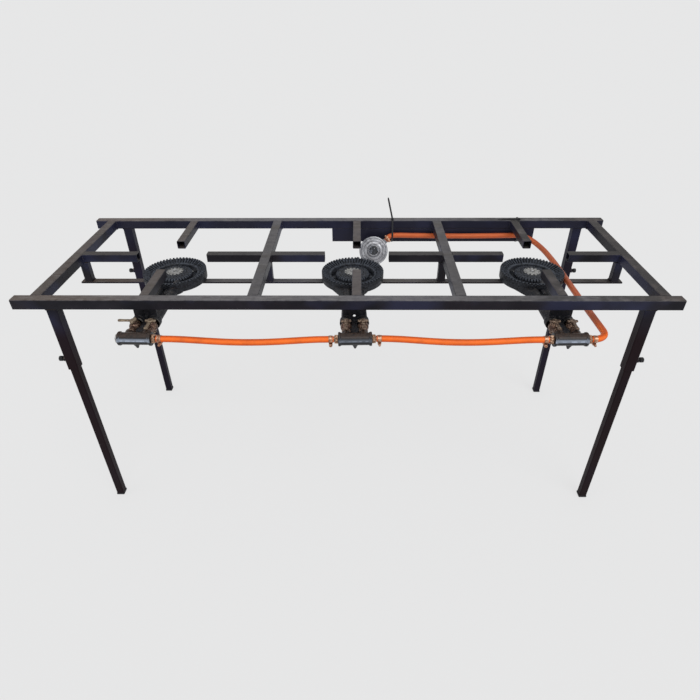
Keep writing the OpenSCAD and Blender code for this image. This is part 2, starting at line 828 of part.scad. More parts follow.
// Hose tail pointing along +X, its hexagon on the face at X = 0
module hose_tail(thread_d) {
    difference() {
        union() {
            hex_x(hex_across, hex_w);
            translate([hex_w, 0, 0]) rod_x(13, collar_w);
            translate([hex_w, 0, 0]) rod_x(2 * nipple_r - 0.8, nipple_w + collar_w);
            for (k = [0, 1])
                translate([hex_w + collar_w + 3 + 4.5 * k, 0, 0]) rotate([0, 90, 0])
                    cylinder(r1 = nipple_r, r2 = nipple_r - 0.6, h = 3.5);
            translate([-12, 0, 0]) rod_x(thread_d, 12 + cut);
        }
        translate([-12 - cut, 0, 0]) rod_x(2 * nipple_r - 3, 60);
    }
}

// The five hose ends on the manifolds: burner and end of its manifold
hose_ends = [[0, 1], [1, -1], [1, 1], [2, -1], [2, 1]];

module at_hose_end(end) {
    at_burner(end[0]) translate([0, manifold_y, gas_axis])
        rotate([0, 0, end[1] > 0 ? 0 : 180]) translate([manifold_length / 2, 0, 0]) children();
}

module hose_barbs() {
    color(brass) for (end = hose_ends) at_hose_end(end) hose_tail(14.8);
}

// Worm-drive clamp round a hose that runs along +X
module worm_clamp() {
    inside = hose_d / 2 + 0.15;
    rotate([0, 90, 0]) difference() {
        cylinder(r = inside + 0.9, h = clamp_w);
        translate([0, 0, -cut]) cylinder(r = inside, h = clamp_w + 2 * cut);
    }
    translate([0.5, -7, -inside - 5.5]) cube([8, 14, 5]);
    translate([4.5, -12, -inside - 3.2]) rod_y(5.5, 24);
}

module hose_clamps() {
    color(bright_zinc) {
        for (end = hose_ends)
            at_hose_end(end) translate([hex_w + collar_w + clamp_back, 0, 0]) worm_clamp();
        at_regulator() translate([outlet_start + outlet_collar + clamp_back, 0, chamber_z])
            rotate([180, 0, 0]) worm_clamp();
    }
}

// ---- Hoses -----------------------------------------------------------------------

function unit(v) = v / norm(v);
function heading(route, i) =
    i == 0 ? unit(route[1] - route[0]) :
    i == len(route) - 1 ? unit(route[i] - route[i - 1]) :
    unit(unit(route[i + 1] - route[i]) + unit(route[i] - route[i - 1]));

// Ring i of a tube: points at radius r round the route, in the plane across its heading
function tube_ring(route, i, r, sides) =
    let (t = heading(route, i), across = unit(cross(t, [0, 0, 1])), up = cross(across, t))
    [for (k = [0 : sides - 1])
        route[i] + r * (cos(k * 360 / sides) * across + sin(k * 360 / sides) * up)];

// Open-ended tube swept along a route, with its bore
module hose(route) {
    sides = 12;
    n = len(route);
    shell = [for (i = [0 : n - 1]) each tube_ring(route, i, hose_d / 2, sides)];
    core = [for (i = [0 : n - 1]) each tube_ring(route, i, hose_bore / 2, sides)];
    inner = n * sides;
    walls = [for (i = [0 : n - 2], k = [0 : sides - 1])
        let (a = i * sides + k, b = i * sides + (k + 1) % sides)
        each [[a, b, b + sides], [a, b + sides, a + sides],
              [inner + a, inner + b + sides, inner + b],
              [inner + a, inner + a + sides, inner + b + sides]]];
    ends = [for (k = [0 : sides - 1])
        let (m = (k + 1) % sides, z = (n - 1) * sides)
        each [[k, inner + m, m], [k, inner + k, inner + m],
              [z + k, z + m, inner + z + m], [z + k, inner + z + m, inner + z + k]]];
    color(hose_orange) in_row()
        polyhedron(points = concat(shell, core), faces = concat(walls, ends), convexity = 6);
}

// ---- Regulator ---------------------------------------------------------------------

// Rear shell with the inlet and outlet in one line across its back
module regulator_body() {
    color(cast_alloy) at_regulator() difference() {
        union() {
            rotate_extrude() polygon([
                [0, -22], [12, -22], [14, -20], [20, -17], [regulator_r - 7, -9],
                [regulator_r - 5, -4], [regulator_r, -4], [regulator_r, -0.8], [0, -0.8]
            ]);
            translate([-outlet_start, 0, chamber_z]) rod_x(14, 2 * outlet_start);
            translate([outlet_start, 0, chamber_z]) rod_x(13, outlet_collar);
            translate([outlet_start + outlet_collar - cut, 0, chamber_z])
                rod_x(2 * nipple_r - 0.8, nipple_w);
            for (k = [0, 1])
                translate([outlet_start + outlet_collar + 3 + 4.5 * k, 0, chamber_z])
                    rotate([0, 90, 0]) cylinder(r1 = nipple_r, r2 = nipple_r - 0.6, h = 3.5);
        }
        rotate_extrude() polygon([
            [0, -15], [12, -14], [regulator_r - 10, -5], [regulator_r - 8, 0], [0, 0]
        ]);
        translate([0, 0, chamber_z]) rod_x(2 * nipple_r - 3, 90);
        translate([-60, 0, chamber_z]) rod_x(11, 50);
    }
}

// Front shell, stepped up to the spring tower
module regulator_cover() {
    color(cast_alloy) at_regulator() difference() {
        rotate_extrude() polygon([
            [0, 0.8], [regulator_r, 0.8], [regulator_r, 3.5], [regulator_r - 3, 4.5],
            [regulator_r - 5, 7], [regulator_r - 9, 7.5], [regulator_r - 11, 10],
            [regulator_r - 15, 10.5], [regulator_r - 17, 13], [17, 14], [15, 20], [0, 20]
        ]);
        rotate_extrude() polygon([
            [0, 0], [regulator_r - 8, 0], [regulator_r - 9, 4], [22, 9.5], [13, 11],
            [12, 21], [0, 21]
        ]);
    }
}

module regulator_cap() {
    color(black_plastic) at_regulator() {
        translate([0, 0, 17]) cylinder(d = 23.6, h = 3.2);
        translate([0, 0, 20.2]) difference() {
            cylinder(d = 27, h = 4);
            translate([-7, -1.2, 2.5]) cube([14, 2.4, 3]);
        }
    }
}

// Disc clamped between the shells, with its stiffening plate
module regulator_diaphragm() {
    color(black_plastic) at_regulator() {
        translate([0, 0, -0.6]) cylinder(r = regulator_r - 2, h = 1.2);
        translate([0, 0, 0.6]) cylinder(r = 15, h = 1.2);
    }
}

// Ring i of the spring's wire, across its helix
function coil_ring(i, steps, turns, pitch, r, wire, sides) =
    let (a = i / steps * 360 * turns, z = i / steps * pitch * turns)
    [for (k = [0 : sides - 1])
        let (q = r + wire / 2 * cos(k * 360 / sides))
        [q * cos(a), q * sin(a), z + wire / 2 * sin(k * 360 / sides)]];

module regulator_spring() {
    turns = 5;
    steps = 60;
    sides = 6;
    wire = 1.6;
    pitch = (16.8 - 1.9 - wire) / turns;
    rings = [for (i = [0 : steps]) each coil_ring(i, steps, turns, pitch, 8, wire, sides)];
    side_faces = [for (i = [0 : steps - 1], k = [0 : sides - 1])
        let (a = i * sides + k, b = i * sides + (k + 1) % sides)
        each [[a, a + sides, b + sides], [a, b + sides, b]]];
    caps = [[for (k = [0 : sides - 1]) k], [for (k = [sides - 1 : -1 : 0]) steps * sides + k]];
    color(bright_zinc) at_regulator() translate([0, 0, 1.9 + wire / 2])
        polyhedron(points = rings, faces = concat(side_faces, caps), convexity = 10);
}

// Bull-nosed inlet spigot that seals in the cylinder valve
module regulator_inlet() {
    color(brass) at_regulator() translate([-outlet_start + 12, 0, chamber_z])
        rotate([0, -90, 0]) difference() {
            union() {
                cylinder(d = 10.8, h = 12);
                translate([0, 0, 12]) cylinder(d = 15, h = 4);
                cylinder(d = 10.8, h = 44);
                translate([0, 0, 40]) cylinder(d = 14, h = 6);
                translate([0, 0, 46]) cylinder(d1 = 14, d2 = 8, h = 5);
            }
            translate([0, 0, -cut]) cylinder(d = 4, h = 60);
        }
}

// Hand nut that turns on the spigot, between its collar and its nose
module regulator_hand_nut() {
    start = outlet_start + 4 + touch;
    color(black_plastic) at_regulator() translate([-start, 0, chamber_z])
        rotate([0, -90, 0]) difference() {
            union() {
                cylinder(d = 34, h = 12);
                translate([0, 0, 12]) cylinder(d = 20, h = 11);
            }
            translate([0, 0, -cut]) cylinder(d = 10.8 + 2 * run, h = 40);
            for (a = [0:30:330])
                rotate([0, 0, a]) translate([18.5, 0, -cut])
                    cylinder(d = 5, h = 12 + 2 * cut, $fn = 24);
        }
}

// ---- Assembly ----------------------------------------------------------------------

front_rail();
rear_rail();
member(side_left_x);  // side_member_left
member(side_right_x);  // side_member_right
member(cross_left_x);  // cross_member_left
member(cross_right_x);  // cross_member_right
side_support_stubs();
end_support_stubs();
carrier_hangers();
burner_carrier();
leg_sockets();
socket_nuts();
hose_strip();
cable_ties();
leg(0);  // leg_front_left
leg(1);  // leg_front_right
leg(2);  // leg_rear_left
leg(3);  // leg_rear_right
foot(0);  // foot_front_left
foot(1);  // foot_front_right
foot(2);  // foot_rear_left
foot(3);  // foot_rear_right
thumb_screw(0);  // thumb_screw_front_left
thumb_screw(1);  // thumb_screw_front_right
thumb_screw(2);  // thumb_screw_rear_left
thumb_screw(3);  // thumb_screw_rear_right
burner_casting(0);  // burner_casting_left
burner_casting(1);  // burner_casting_middle
burner_casting(2);  // burner_casting_right
burner_cap(0);  // burner_cap_left
burner_cap(1);  // burner_cap_middle
burner_cap(2);  // burner_cap_right
burner_fixings();
manifold(0);  // manifold_left
manifold(1);  // manifold_middle
manifold(2);  // manifold_right
tap_bodies(0);  // tap_bodies_left
tap_bodies(1);  // tap_bodies_middle
tap_bodies(2);  // tap_bodies_right
gas_jets();
tap_lever(0, -1, -90);  // tap_lever_left_a
tap_lever(0, 1, 0);  // tap_lever_left_b
tap_lever(1, -1, 0);  // tap_lever_middle_a
tap_lever(1, 1, 0);  // tap_lever_middle_b
tap_lever(2, -1, 0);  // tap_lever_right_a
tap_lever(2, 1, 0);  // tap_lever_right_b
manifold_plug();
hose_barbs();
hose_clamps();
hose(hose_left_route);  // hose_left
hose(hose_middle_route);  // hose_middle
hose(hose_supply_route);  // hose_supply
regulator_body();
regulator_cover();
regulator_cap();
regulator_diaphragm();
regulator_spring();
regulator_inlet();
regulator_hand_nut();
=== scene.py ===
"""Dresses the three-burner propane stand: castings, taps, hoses, regulator and finishes.

Builders work in millimetres in a part's own frame. Layout turns that frame into metres
in the shared frame, with X along the rails, Y from the taps to the rear rail and Z up.
"""

from __future__ import annotations

import json
import logging
import math
from dataclasses import dataclass, field, replace
from enum import Enum
from math import cos, pi, radians, sin
from typing import Sequence, Union

import bmesh
import bpy
from mathutils import Matrix, Vector

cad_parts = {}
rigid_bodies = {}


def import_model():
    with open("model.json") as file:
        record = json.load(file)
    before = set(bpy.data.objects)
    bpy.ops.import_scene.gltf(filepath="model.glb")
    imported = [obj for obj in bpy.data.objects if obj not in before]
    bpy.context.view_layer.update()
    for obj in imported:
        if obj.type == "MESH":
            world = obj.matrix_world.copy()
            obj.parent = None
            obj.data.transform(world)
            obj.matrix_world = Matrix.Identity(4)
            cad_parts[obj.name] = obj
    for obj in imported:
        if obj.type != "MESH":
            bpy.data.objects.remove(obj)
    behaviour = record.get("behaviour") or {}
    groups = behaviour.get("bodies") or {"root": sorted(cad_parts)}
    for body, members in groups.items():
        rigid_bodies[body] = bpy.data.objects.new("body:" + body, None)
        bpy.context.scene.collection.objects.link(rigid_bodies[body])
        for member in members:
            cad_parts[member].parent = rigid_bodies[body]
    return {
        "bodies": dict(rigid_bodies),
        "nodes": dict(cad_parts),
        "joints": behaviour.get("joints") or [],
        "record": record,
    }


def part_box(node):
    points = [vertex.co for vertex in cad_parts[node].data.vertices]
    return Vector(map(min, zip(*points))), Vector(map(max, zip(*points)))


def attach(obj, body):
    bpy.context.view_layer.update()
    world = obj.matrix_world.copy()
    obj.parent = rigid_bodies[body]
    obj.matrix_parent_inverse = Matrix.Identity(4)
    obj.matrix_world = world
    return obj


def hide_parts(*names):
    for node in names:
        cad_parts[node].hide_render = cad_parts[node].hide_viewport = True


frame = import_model()

LOG = logging.getLogger("stand")
Colour = tuple[float, float, float]
Pair = tuple[float, float]
Triple = tuple[float, float, float]
Mesh = bpy.types.Mesh
Node = bpy.types.Node
Socket = bpy.types.NodeSocket
Tree = bpy.types.NodeTree
Feed = Union[float, int, Sequence[float], "Num", Socket, bpy.types.Material]
Seam = tuple[Vector, Vector]
IDENTITY = Matrix.Identity(4)


def turn(degrees: float, axis: str) -> Matrix:
    """Rotation matrix about one named axis, in degrees."""
    return Matrix.Rotation(radians(degrees), 4, axis)


def shift(x: float, y: float, z: float) -> Matrix:
    """Translation matrix."""
    return Matrix.Translation(Vector((x, y, z)))


def corner(flats: float) -> float:
    """Corner radius of a hexagon that is this wide across its flats."""
    return flats / 2 / cos(pi / 6)


ALONG_X = turn(90, "Y")
ALONG_Y = turn(-90, "X")


# ---- Node graphs ----


class Graph:
    """One node tree, shader or geometry, filled through a single method."""

    def __init__(self, tree: Tree) -> None:
        """Keeps the tree and empties it."""
        self.tree = tree
        tree.nodes.clear()

    def feed(self, socket: Socket, value: Feed) -> None:
        """Links a socket or Num to an input, or sets the input's own value.

        Args:
            socket: The input.
            value: What it reads or holds.
        """
        if isinstance(value, Num):
            value = value.socket
        if isinstance(value, Socket):
            self.tree.links.new(value, socket)
        else:
            socket.default_value = value

    def add(self, kind: str, settings: dict | None = None, inputs: dict | None = None) -> Node:
        """Adds a node.

        Args:
            kind: Blender's name of the node type.
            settings: Attributes of the node, set first.
            inputs: Values or links, keyed by the input's name or number.

        Returns:
            The new node.
        """
        node = self.tree.nodes.new(kind)
        for key, value in (settings or {}).items():
            setattr(node, key, value)
        for key, value in (inputs or {}).items():
            self.feed(node.inputs[key], value)
        return node

    def num(self, node: Node, output: int | str = 0) -> Num:
        """One of a node's outputs as a Num."""
        return Num(self, node.outputs[output])


class Num:
    """A number that varies over a surface or a list, written as ordinary maths."""

    def __init__(self, graph: Graph, socket: Socket) -> None:
        """Keeps the output socket and the graph that new Math nodes go into."""
        self.graph = graph
        self.socket = socket

    def _math(self, operation: str, first: Feed, second: Feed = 0.0) -> Num:
        """Adds a Math node and returns its result."""
        node = self.graph.add("ShaderNodeMath", {"operation": operation}, {0: first, 1: second})
        return Num(self.graph, node.outputs[0])

    def __add__(self, other: Feed) -> Num:
        """self + other."""
        return self._math("ADD", self, other)

    __radd__ = __add__

    def __sub__(self, other: Feed) -> Num:
        """self - other."""
        return self._math("SUBTRACT", self, other)

    def __rsub__(self, other: Feed) -> Num:
        """other - self."""
        return self._math("SUBTRACT", other, self)

    def __mul__(self, other: Feed) -> Num:
        """self * other."""
        return self._math("MULTIPLY", self, other)

    __rmul__ = __mul__

    def __truediv__(self, other: Feed) -> Num:
        """self / other."""
        return self._math("DIVIDE", self, other)

    def sine(self) -> Num:
        """Sine of an angle in radians."""
        return self._math("SINE", self)

    def ramp(self, low: float, high: float) -> Num:
        """0 below low, 1 above high, smooth between."""
        settings = {"interpolation_type": "SMOOTHSTEP"}
        return self.graph.num(self.graph.add("ShaderNodeMapRange", settings, {0: self, 1: low, 2: high}))

    def band(self, rise: Pair, fall: Pair) -> Num:
        """1 between a smooth rise and a smooth fall, 0 outside them."""
        return self.ramp(*rise) * (1.0 - self.ramp(*fall))


# ---- Finishes ----


class Slot(Enum):
    """Material slots of the record."""

    PAINT = "black_paint"
    IRON = "cast_iron"
    CAP = "cap_metal"
    BRASS = "brass"
    ZINC = "bright_zinc"
    HOSE = "orange_hose"
    PLASTIC = "black_plastic"
    ALLOY = "cast_alloy"
    RUBBER = "diaphragm_rubber"


@dataclass(frozen=True)
class Patches:
    """Where a second colour lies on a finish.

    The noise levels say how much of the surface the patches take: nothing below low, all
    of the share above high.
    """

    size_mm: float
    low: float
    high: float
    share: float
    detail: float = 3.0


class Shader(Graph):
    """A material's node tree, with the patterns that finishes are made of."""

    def noise(self, size_mm: float, detail: float = 3.0, where: Feed | None = None) -> Num:
        """Fractal noise whose patches are about size_mm across.

        Args:
            size_mm: Size of a patch.
            detail: Octaves.
            where: Vector socket to read, or None for object coordinates.

        Returns:
            Noise between 0 and 1.
        """
        spot = where or self.add("ShaderNodeTexCoord").outputs["Object"]
        return self.num(self.add("ShaderNodeTexNoise", None, {
            "Vector": spot, "Scale": 1000.0 / size_mm, "Detail": detail, "Roughness": 0.55}))

    def blend(self, factor: Feed, first: Feed, second: Feed) -> Socket:
        """Mixes two colours or colour sockets; the factor is the second one's share."""
        low, high = (tuple(c) + (1.0,) if isinstance(c, tuple) else c for c in (first, second))
        return self.add("ShaderNodeMix", {"data_type": "RGBA"}, {0: factor, 6: low, 7: high}).outputs[2]

    def lay(self, base: Feed, tint: Colour, patches: Patches, mask: Num | None = None,
            where: Feed | None = None) -> Socket:
        """Lays patches of a colour over another.

        Args:
            base: What lies below.
            tint: Colour of the patches.
            patches: Their size, cover and share.
            mask: 0 where there are none.
            where: Vector socket that the noise reads, or None for object coordinates.

        Returns:
            The new colour.
        """
        cover = self.noise(patches.size_mm, patches.detail, where).ramp(patches.low, patches.high)
        if mask is not None:
            cover = cover * mask
        return self.blend(cover * patches.share, base, tint)

    def place(self) -> tuple[Num, ...]:
        """Object coordinates X, Y and Z, in metres."""
        spot = self.add("ShaderNodeTexCoord").outputs["Object"]
        split = self.add("ShaderNodeSeparateXYZ", None, {0: spot})
        return tuple(self.num(split, axis) for axis in "XYZ")

    def facing(self, axis: str) -> Num:
        """One part of the surface's direction, from -1 to 1."""
        normal = self.add("ShaderNodeNewGeometry").outputs["Normal"]
        return self.num(self.add("ShaderNodeSeparateXYZ", None, {0: normal}), axis)

    def facing_up(self) -> Num:
        """1 on faces that look up, 0 on walls and undersides."""
        return self.facing("Z").ramp(0.45, 0.95)

    def attribute(self, name: str) -> Num:
        """One of the piece's own attributes."""
        return self.num(self.add("ShaderNodeAttribute", {"attribute_name": name}), "Fac")

    def drawn(self, scale: Sequence[float], source: str = "Object") -> Socket:
        """Coordinates stretched by a scale, so that a noise on them is drawn out."""
        spot = self.add("ShaderNodeTexCoord").outputs[source]
        return self.add("ShaderNodeMapping", None, {"Vector": spot, "Scale": scale}).outputs[0]


@dataclass(frozen=True)
class Finish:
    """A surface finish with two mottled colours and a fine grain.

    Sizes are in millimetres on the object.
    """

    slot: Slot
    dark: Colour
    light: Colour
    metallic: float = 0.0
    roughness: Pair = (0.4, 0.5)
    specular: float = 0.5
    patch_mm: float = 40.0
    grain_mm: float = 0.8
    grain_depth_mm: float = 0.03
    tag: str = ""

    def colour(self, graph: Shader) -> Socket:
        """Colour of the surface."""
        return graph.blend(graph.noise(self.patch_mm).ramp(0.3, 0.7), self.dark, self.light)

    def rough(self, graph: Shader) -> Feed:
        """Roughness of the surface."""
        low, high = self.roughness
        return low + (high - low) * graph.noise(self.patch_mm * 0.4, 4.0)

    def relief(self, graph: Shader) -> Num:
        """Height of the surface grain, between 0 and 1."""
        return graph.noise(self.grain_mm)

    def material(self) -> bpy.types.Material:
        """The finish as a material, made once.

        Returns:
            The material named after the finish.
        """
        name = "_".join(filter(None, (type(self).__name__, self.slot.value, self.tag)))
        if name in bpy.data.materials:
            return bpy.data.materials[name]
        made = bpy.data.materials.new(name)
        made.use_nodes = True
        graph = Shader(made.node_tree)
        bump = graph.add("ShaderNodeBump", None, {
            "Strength": 1.0, "Distance": self.grain_depth_mm / 1000.0, "Height": self.relief(graph)})
        shader = graph.add("ShaderNodeBsdfPrincipled", None, {
            "Base Color": self.colour(graph), "Roughness": self.rough(graph), "Metallic": self.metallic,
            "Specular IOR Level": self.specular, "Normal": bump.outputs[0]})
        graph.add("ShaderNodeOutputMaterial", None, {0: shader.outputs[0]})
        return made


@dataclass(frozen=True)
class Paint(Finish):
    """Brushed-on black enamel on square tube, with a dirt film and painted sheen on top, a painted
    highlight along its top edges and painted shade on some tops.

    A pair named for an axis gives two places in the shared frame, in metres, between
    which a change runs its course.
    """

    # Hazy blue patches in the paint, which also stand for painted sheen on the black walls.
    bloom: Colour = (0.021, 0.023, 0.05)
    bloom_patches: Patches = Patches(130.0, 0.46, 0.66, 0.85, 2.0)
    rear_y: Pair = (0.17, 0.24)
    rear_share: float = 0.4
    soil: Colour = (0.0095, 0.0048, 0.0058)
    soil_share: float = 0.92
    soil_z: Pair = (0.54, 0.615)
    front_y: Pair = (-0.1, 0.1)
    # Painted highlight along the rounded top edges of the tubes.
    rubbed: Colour = (0.115, 0.112, 0.12)
    rubbed_patches: Patches = Patches(18.0, 0.3, 0.6, 0.7, 4.0)
    edge_z: Pair = (0.6476, 0.6496)
    # Dirt film on upward faces, far lighter than the paint, which also stands for painted sheen from above.
    dust: Colour = (0.15, 0.143, 0.146)
    dust_share: float = 0.8
    rust: Colour = (0.13, 0.092, 0.066)
    left_x: Pair = (-0.66, -0.3)
    right_x: Pair = (0.56, 0.72)
    olive: Colour = (0.086, 0.074, 0.058)
    olive_patches: Patches = Patches(60.0, 0.52, 0.7, 0.55)
    streak: Colour = (0.24, 0.225, 0.215)
    streak_patches: Patches = Patches(3.0, 0.5, 0.72, 0.5, 4.0)
    pit: Colour = (0.04, 0.036, 0.034)
    pit_patches: Patches = Patches(2.6, 0.56, 0.68, 0.4, 5.0)
    # Painted shade on the tops: towards the right, and more on the copies that have a shade.
    dull: Colour = (0.03, 0.028, 0.028)
    dull_x: Pair = (0.16, 0.52)
    shade: float = 0.0

    def walls(self, graph: Shader) -> Socket:
        """Black paint with hazy blue patches that also stand for painted sheen, bluer towards the rear,
        browner low down, and a painted highlight along the top edges.
        """
        _, y, z = graph.place()
        base = graph.lay(super().colour(graph), self.bloom, self.bloom_patches)
        # Bluer towards the rear: more of the same hazy blue and painted sheen.
        base = graph.blend(y.ramp(*self.rear_y) * self.rear_share, base, self.bloom)
        low = (1.0 - z.ramp(*self.soil_z)) * (1.0 - 0.45 * y.ramp(*self.front_y))
        base = graph.blend(low * self.soil_share, base, self.soil)
        # Painted highlight on the top edges.
        return graph.lay(base, self.rubbed, self.rubbed_patches, z.ramp(*self.edge_z))

    def colour(self, graph: Shader) -> Socket:
        """The walls' colour, with a dirt film and painted sheen, streaks and pits on upward faces, and
        painted shade on some tops.
        """
        x, _, _ = graph.place()
        top = graph.facing_up()
        along = graph.drawn((0.07, 1.0, 1.0))
        # Dirt film and painted sheen on the upward faces.
        film = top * (0.45 + 0.55 * graph.noise(24.0, 5.0)) * self.dust_share
        warm = (1.0 - x.ramp(*self.left_x)) * 0.85 + x.ramp(*self.right_x) * 0.7
        base = graph.blend(film, self.walls(graph), graph.blend(warm, self.dust, self.rust))
        base = graph.lay(base, self.olive, self.olive_patches, top, along)
        base = graph.lay(base, self.streak, self.streak_patches, top, along)
        base = graph.lay(base, self.pit, self.pit_patches, top)
        # Painted shade darkens the tops towards the right, and more on the copies that have a shade.
        top_shade = x.ramp(*self.dull_x) * graph.noise(45.0).ramp(0.25, 0.6)
        top_shade = self.shade + (1.0 - self.shade) * 0.85 * top_shade
        return graph.blend(top_shade * top, base, self.dull)

    def rough(self, graph: Shader) -> Feed:
        """Glossier on the walls than under the film."""
        return super().rough(graph) + 0.16 * graph.facing_up()

    def relief(self, graph: Shader) -> Num:
        """Fine orange peel over a slow wave left by the brush."""
        return 0.5 * graph.noise(self.grain_mm) + 0.5 * graph.noise(6.0, 2.0)


@dataclass(frozen=True)
class Enamel(Finish):
    """Black enamel over a sand casting, with rust freckles, a pale chalky film that also stands for painted
    sheen, and painted glints.

    Reads an attribute of the piece, 1 on the tips of the teeth, where a painted highlight goes.
    """

    rust: Colour = (0.085, 0.045, 0.028)
    freckles: Patches = Patches(3.5, 0.64, 0.74, 0.6, 5.0)
    film: Colour = (0.058, 0.07, 0.094)
    specks: Patches = Patches(2.6, 0.6, 0.68, 0.35)
    # Chalky film on upward faces, bluish, which also stands for painted sheen.
    chalk: Patches = Patches(7.0, 0.42, 0.72, 0.42, 4.0)
    # Painted glints on upward slopes.
    glint: Colour = (0.16, 0.175, 0.2)
    glints: Patches = Patches(1.9, 0.62, 0.7, 0.6, 2.0)
    # Painted highlight on the tooth tips, which leaves the slots between them darker as painted shade.
    bare: Colour = (0.075, 0.086, 0.108)
    bared: Patches = Patches(6.0, 0.36, 0.6, 0.5)

    def colour(self, graph: Shader) -> Socket:
        """Blue-black with a few brown freckles, a chalky film with painted sheen on top, painted glints,
        and a painted highlight on the tooth tips.
        """
        base = graph.lay(super().colour(graph), self.rust, self.freckles)
        base = graph.lay(base, self.film, self.specks)
        # Chalky film with painted sheen on top, then painted glints.
        base = graph.lay(base, self.film, self.chalk, graph.facing_up())
        base = graph.lay(base, self.glint, self.glints, graph.facing("Z").ramp(0.1, 0.6))
        # Painted highlight on the tooth tips.
        return graph.lay(base, self.bare, self.bared, graph.attribute("wear"))

    def relief(self, graph: Shader) -> Num:
        """Sand grain with a coarser skin under it."""
        return 0.6 * graph.noise(self.grain_mm, 4.0) + 0.4 * graph.noise(4.5)


@dataclass(frozen=True)
class Gloss(Finish):
    """Thick enamel on a smooth casting: painted grey sheen on upright faces and a brown painted reflection
    on top.
    """

    # Painted sheen on faces that look level, where the pale floor would be reflected.
    sheen: Colour = (0.25, 0.285, 0.345)
    sheen_share: float = 1.0
    # Brighter painted centre of the sheen.
    core: Colour = (0.5, 0.56, 0.68)
    core_share: float = 0.6
    # Brown painted reflection on faces that look up.
    film: Colour = (0.04, 0.025, 0.019)
    film_patches: Patches = Patches(9.0, 0.2, 0.6, 1.0)

    def colour(self, graph: Shader) -> Socket:
        """Black with the painted sheen, its brighter painted centre and the brown painted reflection on
        top.
        """
        up, side = graph.facing("Z"), graph.facing("X")
        band = up.band((-0.14, 0.08), (0.32, 0.6)) * (1.0 - (side * side).ramp(0.3, 0.7))
        patch = 0.6 + 0.4 * graph.noise(20.0)
        base = graph.blend(band * patch * self.sheen_share, super().colour(graph), self.sheen)
        core = up.band((0.0, 0.1), (0.16, 0.3)) * graph.noise(8.0).ramp(0.4, 0.6)
        base = graph.blend(core * band * self.sheen_share * self.core_share, base, self.core)
        return graph.lay(base, self.film, self.film_patches, up.ramp(0.45, 0.85))


@dataclass(frozen=True)
class Metal(Finish):
    """Bare or plated metal with a dull tarnish and fine tool marks."""

    tarnish: Colour = (0.16, 0.12, 0.09)
    tarnish_share: float = 0.35
    blot_mm: float = 7.0

    def worn(self, graph: Shader) -> Num:
        """Share of tarnish at a point."""
        high = 0.82 - 0.4 * self.tarnish_share
        return graph.noise(self.blot_mm, 4.0).ramp(high - 0.34, high)

    def colour(self, graph: Shader) -> Socket:
        """Metal colour with tarnish in the patches."""
        return graph.blend(self.worn(graph) * 0.85, super().colour(graph), self.tarnish)

    def rough(self, graph: Shader) -> Feed:
        """Duller where it is tarnished."""
        return super().rough(graph) + 0.18 * self.worn(graph)

    def relief(self, graph: Shader) -> Num:
        """Tool marks drawn out across one direction, over grain."""
        marks = graph.drawn((1.0, 9.0, 1.0))
        return 0.5 * graph.noise(3.0, 2.0, marks) + 0.5 * graph.noise(self.grain_mm)


@dataclass(frozen=True)
class Turned(Metal):
    """Alloy turned in rings, with painted shade in rings. Reads the piece's "radius" attribute, in metres.

    Each shaded step has a radius and a width.
    """

    # Painted shade in dark rings near the cover's steps.
    groove: Colour = (0.06, 0.064, 0.076)
    rings: Patches = Patches(3.0, 0.44, 0.6, 0.3, 2.0)
    cuts_mm: tuple[Pair, ...] = ((19.0, 2.6), (28.6, 2.0), (36.2, 1.4), (42.2, 1.4))

    def colour(self, graph: Shader) -> Socket:
        """Painted shade: dark rings near the steps, and fainter dark rings of uneven width between them."""
        radius = graph.attribute("radius")
        line = graph.add("ShaderNodeCombineXYZ", None, {"X": radius}).outputs[0]
        base = graph.lay(super().colour(graph), self.groove, self.rings, where=line)
        for place, width in self.cuts_mm:
            low, middle, high = ((place + k * width) / 1000 for k in (-1, 0, 1))
            # Painted shade in a dark ring near each step.
            step_shade = radius.band((low, middle), (middle, high))
            base = graph.blend(step_shade * 0.9, base, self.groove)
        return base


